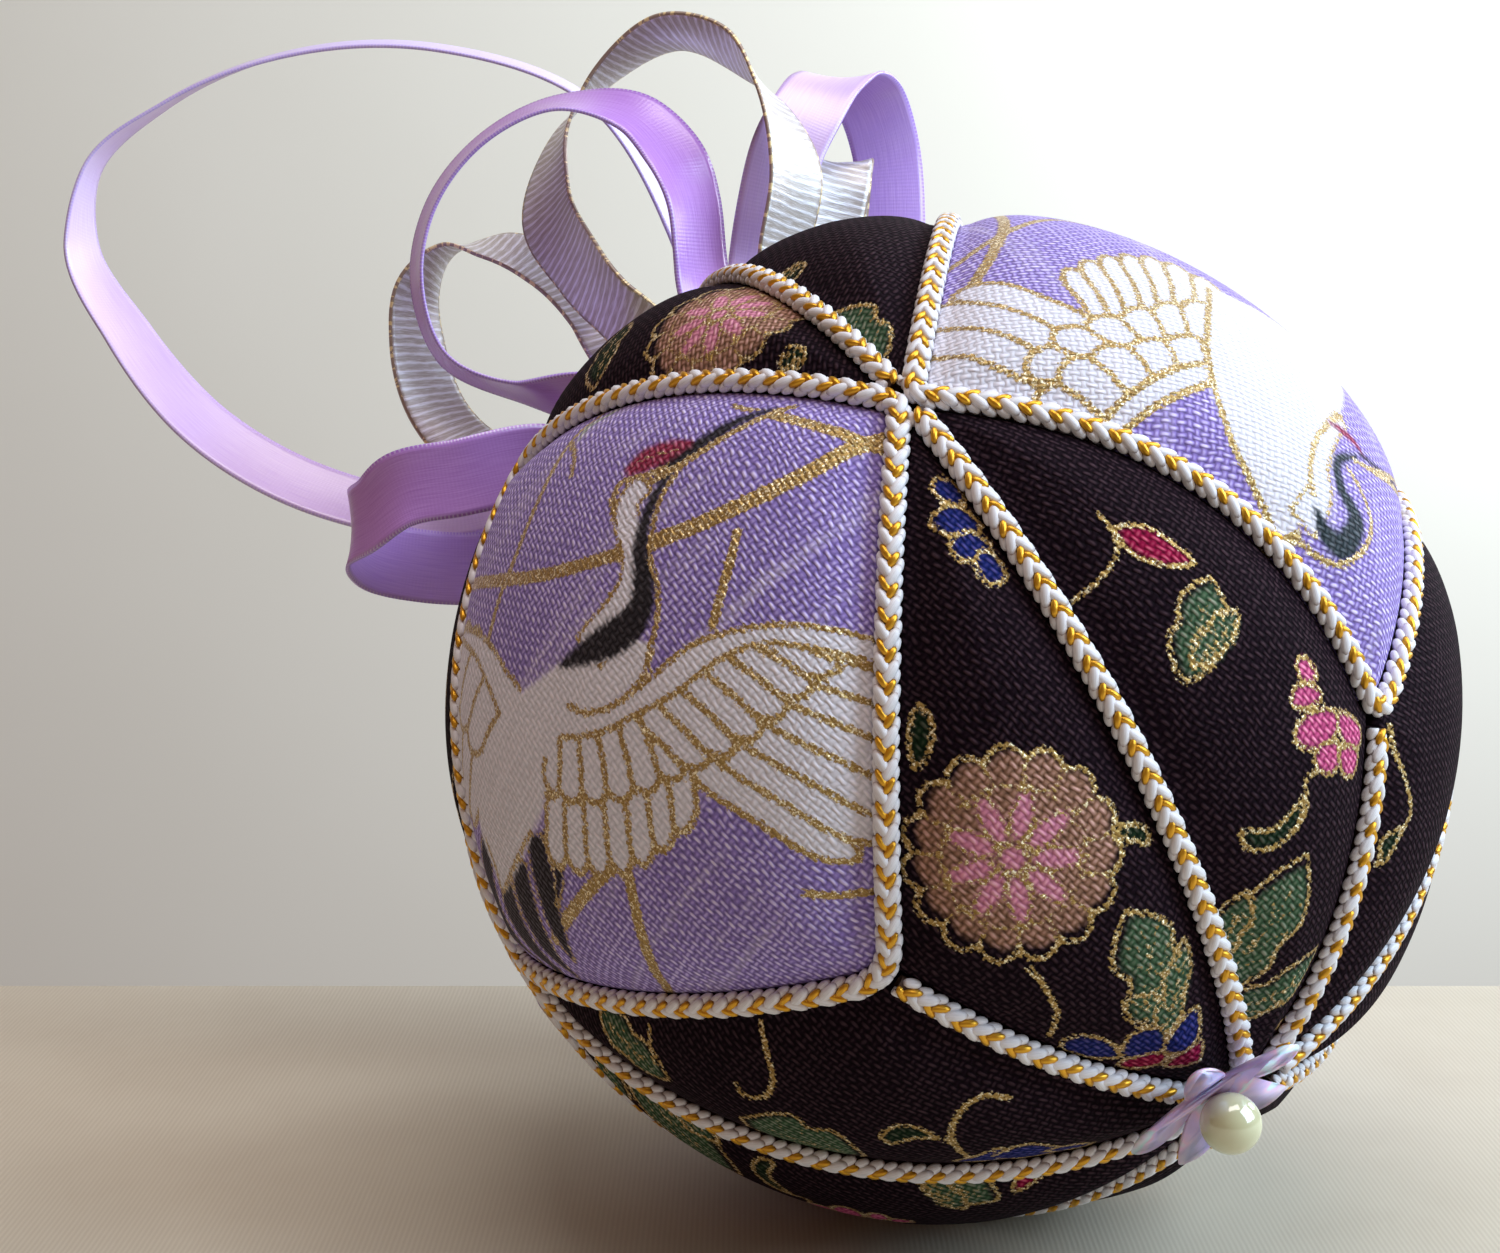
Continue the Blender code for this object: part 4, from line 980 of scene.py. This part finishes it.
# Each ribbon's slot, feet and route. A foot: degrees round the upper pole, layer, reach in mm.
# A row: right, up and behind the ball's centre in mm, and the turn of the face in degrees, or
# no turn where "across" gives the direction that the ribbon's width keeps.
RIBBONS = {
    "hanging_loop": {
        "slot": "satin_ribbon",
        "held": "hung",
        "feet": ((133, 1, 7.0), (-172, 1, 8.0)),
        "route": (
            (-19, 33, 37, 75), (-22, 44, 39, 78), (-30, 56, 38, 84), (-44, 61, 38, 86), (-57, 61, 39, 88),
            (-70, 56, 39, 95), (-77, 50, 39, 104), (-78, 43, 39, 116), (-73, 34, 37, 127),
            (-65, 25, 35, 134), (-54, 19, 34, 134), (-43, 17, 34, 130), (-32, 20, 34, 125),
        ),
    },
    "satin_loop_left": {
        "slot": "satin_ribbon",
        "feet": ((-17, 0, 8.0), (-84, 0, 8.0)),
        "route": (
            (-19, 37, 16, 48), (-19.8, 43, 16, 48), (-21.5, 47, 17, 46), (-24.5, 50.3, 18, 58),
            (-31, 51.6, 19, 80), (-37.5, 49, 20, 84), (-42.6, 43, 21, 83), (-43.8, 37, 21, 82),
            (-41.6, 30, 21, 82), (-34, 26.5, 20, 76),
        ),
    },
    "silver_loop_top": {
        "slot": "silver_ribbon",
        "feet": ((20, 0, 9.0), (-50, 0, 8.0)),
        "route": (
            (-12, 39, 17, 50), (-11, 45, 17, 50), (-13, 52, 19, 80), (-17, 57, 22, 112), (-22, 59, 25, 118),
            (-28, 56, 28, 108), (-32, 51, 28, 84), (-33, 44, 25, 56), (-30, 38, 20, 50),
            (-26, 33, 16, 50),
        ),
    },
    "silver_loop_left": {
        "slot": "silver_ribbon",
        "feet": ((-85, 1, 4.5), (-136, 1, 7.5)),
        "route": (
            (-28, 34, 26, 45), (-33, 39, 28, 50), (-38, 41, 29, 70), (-42, 41, 30, 100), (-45, 37, 30, 128),
            (-45, 32, 30, 138), (-43, 26, 29, 140), (-39, 22, 27, 135), (-33, 21, 24, 130),
        ),
    },
    "satin_loop_low": {
        "slot": "satin_ribbon",
        "feet": ((-133, 0, 9.0), (-169, 0, 9.0)),
        "across": (0, 1, 0),
        "route": (
            (-33, 20.5, 15.5), (-39, 19, 13), (-44, 18, 13), (-47, 16, 15), (-49, 15, 18), (-48, 13, 22),
            (-44, 12, 25), (-37, 12, 27), (-30, 14, 28),
        ),
    },
    "satin_loop_right": {
        "slot": "satin_ribbon",
        "feet": ((24, 1, 7.0), (99, 1, 9.0)),
        "across": (0.99, 0, 0.12),
        "route": (
            (-13.6, 38.5, 22.6), (-12.9, 43, 22), (-11.6, 48.4, 22.5), (-9.8, 52.2, 24), (-8.2, 55, 26.6),
            (-6.3, 56.4, 30), (-3.9, 55.2, 33.8), (-2.4, 51.5, 36), (-1.8, 46, 36.6), (-2.2, 39, 36),
        ),
    },
    "silver_loop_right": {
        "slot": "silver_ribbon",
        "feet": ((54, 0, 9.0), (62, 1, 9.0)),
        "across": (0.94, 0, 0.34),
        "route": (
            (-8, 38, 26), (-7.8, 42.5, 26.2), (-7.2, 46.5, 26.9), (-7, 48.5, 28.6), (-7, 46.5, 31),
            (-7.5, 42, 32), (-9, 37, 31),
        ),
    },
}
VIEW_AXES = np.array(
    [[1, 0, 0], [0, math.sin(VIEW_DIP), math.cos(VIEW_DIP)], [0, math.cos(VIEW_DIP), -math.sin(VIEW_DIP)]]
)
RIBBON_POLE = BALL_AXES @ POLES["high"]


def tangent_axes(direction):
    upward = unit(np.array([0, 0, 1]) - direction * direction[2])
    return upward, np.cross(direction, upward)


def foot_rows(azimuth, layer, reach_mm):
    """Rows of point, across and width from a foot's gathered tip outwards."""
    up, right = tangent_axes(RIBBON_POLE)
    angle = math.radians(azimuth)
    along = math.cos(angle) * up + math.sin(angle) * right
    across = unit(np.cross(RIBBON_POLE, along))
    height = FOOT_HEIGHTS[layer]
    rows = []
    for reach in (FOOT_INNER, 0.5 * (FOOT_INNER + reach_mm * MM), reach_mm * MM):
        lean = reach / height
        point = BALL_CENTRE + (RIBBON_POLE * math.cos(lean) + along * math.sin(lean)) * height
        rows.append([*point, *across, min(RIBBON_WIDTH, 2 * reach * FOOT_FAN - FEET_APART)])
    return rows


def route_rows(ribbon):
    eye = BALL_CENTRE + np.array(VIEW_FROM_BALL) @ VIEW_AXES
    points = [BALL_CENTRE + np.array(row[:3]) * MM @ VIEW_AXES for row in ribbon["route"]]
    rows = []
    for i, point in enumerate(points):
        if "across" in ribbon:
            across = np.array(ribbon["across"]) @ VIEW_AXES
        else:
            ahead = unit(points[min(i + 1, len(points) - 1)] - points[max(i - 1, 0)])
            away = unit(point - eye)
            turn = math.radians(ribbon["route"][i][3])
            across = math.cos(turn) * unit(np.cross(away, ahead)) + math.sin(turn) * away
        rows.append([*point, *across, RIBBON_WIDTH])
    return rows


def ribbon_rows(ribbon):
    first, last = ribbon["feet"]
    rows = np.array(foot_rows(*first) + route_rows(ribbon) + foot_rows(*last)[::-1])
    for before, row in zip(rows, rows[1:]):
        if row[3:6] @ before[3:6] <= 0:
            row[3:6] *= -1
    return rows


def smooth_through(rows, steps):
    """Rows between the given ones, on one smooth curve through them all."""
    ways = np.linalg.norm(np.diff(rows[:, :3], axis=0), axis=1)[:, None]
    slopes = np.diff(rows, axis=0) / ways
    bends = (slopes[:-1] * ways[1:] + slopes[1:] * ways[:-1]) / (ways[:-1] + ways[1:])
    bends = np.concatenate([slopes[:1], bends, slopes[-1:]])
    out = []
    for p0, p1, m0, m1, way in zip(rows, rows[1:], bends, bends[1:], ways):
        for t in np.linspace(0, 1, steps, endpoint=False):
            ease = t * t * (3 - 2 * t)
            lean = m0 * t * (1 - t) ** 2 - m1 * t * t * (1 - t)
            out.append(p0 + (p1 - p0) * ease + lean * way)
    out.append(rows[-1])
    return np.array(out)


def add_ribbon(name, ribbon, materials):
    rows = smooth_through(ribbon_rows(ribbon), 24)
    along = walked(rows[:, :3])
    length = along[-1]
    count = round(length / RIBBON_STEP)
    marks = np.linspace(0, length, count + 1)
    points, across, width = np.split(rows_at(marks, along, rows), (3, 6), axis=1)
    forward = unit(np.gradient(points, axis=0))
    side = unit(across - forward * (across * forward).sum(axis=1)[:, None])
    cup = np.cross(forward, side) * RIBBON_CUP * np.minimum(1, (width / RIBBON_WIDTH) ** 3)
    bm = bmesh.new()
    weave = bm.loops.layers.uv.new("ribbon")
    bmesh.ops.create_grid(bm, x_segments=count, y_segments=RIBBON_COLUMNS, size=0.5)
    for corner in bm.verts:
        row, y = round((corner.co.x + 0.5) * count), corner.co.y
        for loop in corner.link_loops:
            loop[weave].uv = (marks[row] / RIBBON_SPAN, y + 0.5)
        corner.co = points[row] + side[row] * y * width[row] + cup[row] * (1 - 4 * y * y)
    piece = add_piece(name + "_weave", bm, materials)
    solid = piece.modifiers.new("thickness", "SOLIDIFY")
    solid.thickness = RIBBON_THICKNESS
    solid.offset = 0
    solid.material_offset = 1
    solid.material_offset_rim = 0
    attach(piece, "root")
    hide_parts(name)


def ribbon_places(tree):
    """Along and across a ribbon in mm, and how far a place lies from its middle line, 0 to 1."""
    place = node(tree, "UVMap", uv_map="ribbon").outputs["UV"]
    in_mm = stretched(tree, place, (RIBBON_SPAN / MM, RIBBON_WIDTH / MM, 1))
    off_middle = sums(tree, "ABSOLUTE", sums(tree, "SUBTRACT", part(tree, place, 1), 0.5))
    return in_mm, sums(tree, "MULTIPLY", off_middle, 2)


def ribs_across(tree, along, pitch_mm):
    return sums(tree, "SINE", sums(tree, "MULTIPLY", along, 2 * math.pi / pitch_mm))


def satin(name, light, dark, roughness):
    """Satin weave: long smooth threads along the ribbon, fine ribs across it and a woven edge."""
    made, tree, shader = named_material(name, Roughness=roughness, Specular_IOR_Level=1.0)
    in_mm, off_middle = ribbon_places(tree)
    grain = noise(tree, stretched(tree, in_mm, (0.25, 9, 1)), 1.0, 3)
    ribs = ribs_across(tree, part(tree, in_mm, 0), SATIN_RIB_MM)
    edge = node(tree, "MapRange", Value=off_middle, From_Min=0.91, From_Max=0.95).outputs[0]
    ticks = sums(tree, "MULTIPLY", sums(tree, "GREATER_THAN", ribs, 0.3), edge)
    shade = ramp(tree, sums(tree, "MULTIPLY_ADD", edge, -0.35, grain), (0.1, dark), (0.75, light))
    colour = mixed(tree, sums(tree, "MULTIPLY", ticks, 0.45), shade, (0.80, 0.70, 0.95, 1))
    height = sums(tree, "ADD", grain, sums(tree, "MULTIPLY", ribs, 0.25))
    paint(tree, shader, colour, height, 0.35, 0.03 * MM)
    return made


def silver(name):
    """Sheer silver weave: pale ribs across a thin ground, gold glitter and brown thread on the edges."""
    made, tree, shader = named_material(name, Roughness=0.34, Metallic=0.3)
    in_mm, off_middle = ribbon_places(tree)
    along = sums(tree, "MULTIPLY_ADD", noise(tree, in_mm, 0.5, 2), 0.3, part(tree, in_mm, 0))
    ribs = ribs_across(tree, along, SILVER_RIB_MM)
    fine = noise(tree, stretched(tree, in_mm, (9, 0.8, 1)), 1.0, 3)
    narrow = sums(tree, "POWER", sums(tree, "MULTIPLY_ADD", ribs, 0.5, 0.5), 3)
    level = sums(tree, "MULTIPLY_ADD", narrow, 0.4, fine)
    shade = ramp(tree, level, (0.45, (0.46, 0.41, 0.385)), (0.9, (0.82, 0.82, 0.90)))
    grain = part(tree, node(tree, "TexVoronoi", Vector=in_mm, Scale=3.4).outputs["Color"], 0)
    glint = ramp(tree, grain, (0, (0.40, 0.30, 0.25)), (0.72, (0.92, 0.74, 0.42)), steps=True)
    near_edge = sums(tree, "ADD", off_middle, sums(tree, "MULTIPLY_ADD", fine, 0.08, -0.04))
    colour = mixed(tree, sums(tree, "GREATER_THAN", near_edge, 0.95), shade, glint)
    paint(tree, shader, colour, level, 0.6, 0.06 * MM)
    return made


satin_face = satin("satin_face", (0.64, 0.43, 0.98), (0.46, 0.26, 0.84), 0.28)
satin_back = satin("satin_back", (0.62, 0.33, 0.86), (0.42, 0.18, 0.67), 0.24)
# Lighter copies of the same satin, a painted highlight, for the hanging loop and the back of the right loop.
painted_highlight_face = satin("satin_face_painted_highlight", (0.76, 0.64, 1.0), (0.60, 0.46, 0.94), 0.3)
painted_highlight_back = satin("satin_back_painted_highlight", (0.80, 0.62, 0.98), (0.66, 0.44, 0.90), 0.3)
RIBBON_FACES = {
    "satin_ribbon": [satin_face, satin_back],
    "silver_ribbon": [silver("silver_face"), silver("silver_back")],
    "hanging_loop": [painted_highlight_face, painted_highlight_back],
    "satin_loop_right": [satin_face, painted_highlight_back],
}
for name, ribbon in RIBBONS.items():
    add_ribbon(name, ribbon, RIBBON_FACES.get(name) or RIBBON_FACES[ribbon["slot"]])

# The flower sequin: one stamping of thin clear film with a pearly lilac coat, five narrow petals
# with their sides curled up. It is pinned at the lower pole through a pearl bead, and leans a little.
FLOWER_PLACE = (10.5, 30)
FLOWER_SEAT = 38.6 * MM
FLOWER_THICKNESS = 0.25 * MM
FLOWER_SPIN = math.radians(48)
FLOWER_TIP = math.radians(8)
FLOWER_HOLE = 0.03
PETALS = 5
PETAL_REACH = 6.5 * MM
PETAL_NOTCH = 1.5 * MM
PETAL_POINTED = 1.75
PETAL_LIFT = 1.5 * MM
PETAL_TROUGH = 0.42 * MM
PETAL_HALF_WIDTH = 1.2 * MM
# Each petal's length and lift, as shares of the longest
PETAL_ENDS = ((1.0, 0.7), (1.0, 1.0), (1.0, 0.7), (1.0, 0.9), (0.98, 0.8))

film, tree, shader = named_material(
    "pearly_film",
    Roughness=0.3,
    Subsurface_Weight=0.3,
    Subsurface_Scale=0.5 * MM,
    Coat_Weight=0.5,
    Coat_Roughness=0.05,
)
cloudy = noise(tree, node(tree, "TexCoord").outputs["Object"], 330, 2)
RAINBOW = (
    (0.30, (0.40, 0.33, 0.66)),
    (0.46, (0.62, 0.48, 0.82)),
    (0.56, (0.86, 0.56, 0.80)),
    (0.64, (0.64, 0.84, 0.90)),
    (0.74, (0.90, 0.84, 1.0)),
)
paint(tree, shader, ramp(tree, cloudy, *RAINBOW))
flower_out = BALL_AXES @ on_ball(*FLOWER_PLACE)
flower_up, flower_across = tangent_axes(flower_out)
ahead = math.cos(FLOWER_SPIN) * flower_across + math.sin(FLOWER_SPIN) * flower_up
side = math.cos(FLOWER_SPIN) * flower_up - math.sin(FLOWER_SPIN) * flower_across
facing = math.cos(FLOWER_TIP) * flower_out - math.sin(FLOWER_TIP) * ahead
ahead = math.cos(FLOWER_TIP) * ahead + math.sin(FLOWER_TIP) * flower_out
bm = bmesh.new()
bmesh.ops.create_grid(bm, x_segments=200, y_segments=16, size=0.5, calc_uvs=False)
for corner in bm.verts:
    angle = (corner.co.x + 0.5) * 2 * math.pi
    share = FLOWER_HOLE + (1 - FLOWER_HOLE) * (corner.co.y + 0.5)
    number = round(angle / (2 * math.pi / PETALS)) % PETALS
    longer, flatter = PETAL_ENDS[number]
    petal = abs(math.cos(angle * PETALS / 2)) ** PETAL_POINTED
    reach = (PETAL_NOTCH + (PETAL_REACH * longer - PETAL_NOTCH) * petal) * share
    off_axis = abs(math.sin(angle - number * 2 * math.pi / PETALS)) * reach
    lift = PETAL_LIFT * flatter * (reach / PETAL_REACH) ** 1.5
    lift += PETAL_TROUGH * (off_axis / PETAL_HALF_WIDTH) ** 2
    flat = math.cos(angle) * ahead + math.sin(angle) * side
    corner.co = BALL_CENTRE + flower_out * FLOWER_SEAT + facing * lift + flat * reach
bmesh.ops.remove_doubles(bm, verts=bm.verts, dist=TINY)
bmesh.ops.holes_fill(bm, edges=[edge for edge in bm.edges if edge.is_boundary], sides=210)
bmesh.ops.recalc_face_normals(bm, faces=bm.faces)
flower = add_piece("flower_film", bm, [film])
solid = flower.modifiers.new("thickness", "SOLIDIFY")
solid.thickness = FLOWER_THICKNESS
solid.offset = 1
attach(flower, "root")
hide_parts("flower_sequin")

# The pearl bead: a round glass bead with a thick glossy cream coat. The pin that holds it and the
# flower on the ball does not show, and is left out.
PEARL_RADIUS = 2 * MM
PEARL_LIFT = 0.8 * MM
nacre, tree, shader = named_material(
    "bead_coat", Roughness=0.25, Coat_Weight=1.0, Coat_Roughness=0.02, Coat_IOR=2.0
)
cloudy = sums(tree, "MULTIPLY", noise(tree, node(tree, "TexCoord").outputs["Object"], 260, 2), 0.35)
# Lighter towards the rim by a Fresnel term: painted sheen over the coat's cloudy tone.
depth = sums(tree, "ADD", cloudy, node(tree, "Fresnel", IOR=1.6).outputs["Fac"])
paint(tree, shader, ramp(tree, depth, (0.15, (0.60, 0.60, 0.37)), (0.75, (0.88, 0.93, 0.63))))
bm = bmesh.new()
bmesh.ops.create_uvsphere(bm, u_segments=48, v_segments=32, radius=PEARL_RADIUS)
seat = BALL_CENTRE + flower_out * (FLOWER_SEAT + PEARL_LIFT + PEARL_RADIUS)
bmesh.ops.translate(bm, verts=bm.verts, vec=seat)
pearl = add_piece("pearl_coat", bm, [nacre])
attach(pearl, "root")
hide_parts("pearl_bead")

# The ribbon pin: a plain domed brass head, pushed into the ball at the upper pole, that holds the
# gathered ribbon ends down. Its shape is the built part's own.
brass, tree, shader = named_material("pin_brass", Roughness=0.3, Metallic=1.0)
marks = noise(tree, node(tree, "TexCoord").outputs["Object"], 900, 3)
paint(tree, shader, ramp(tree, marks, (0, (0.50, 0.34, 0.12)), (1, (0.80, 0.60, 0.28))))
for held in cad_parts["ribbon_pin"].material_slots:
    held.material = brass
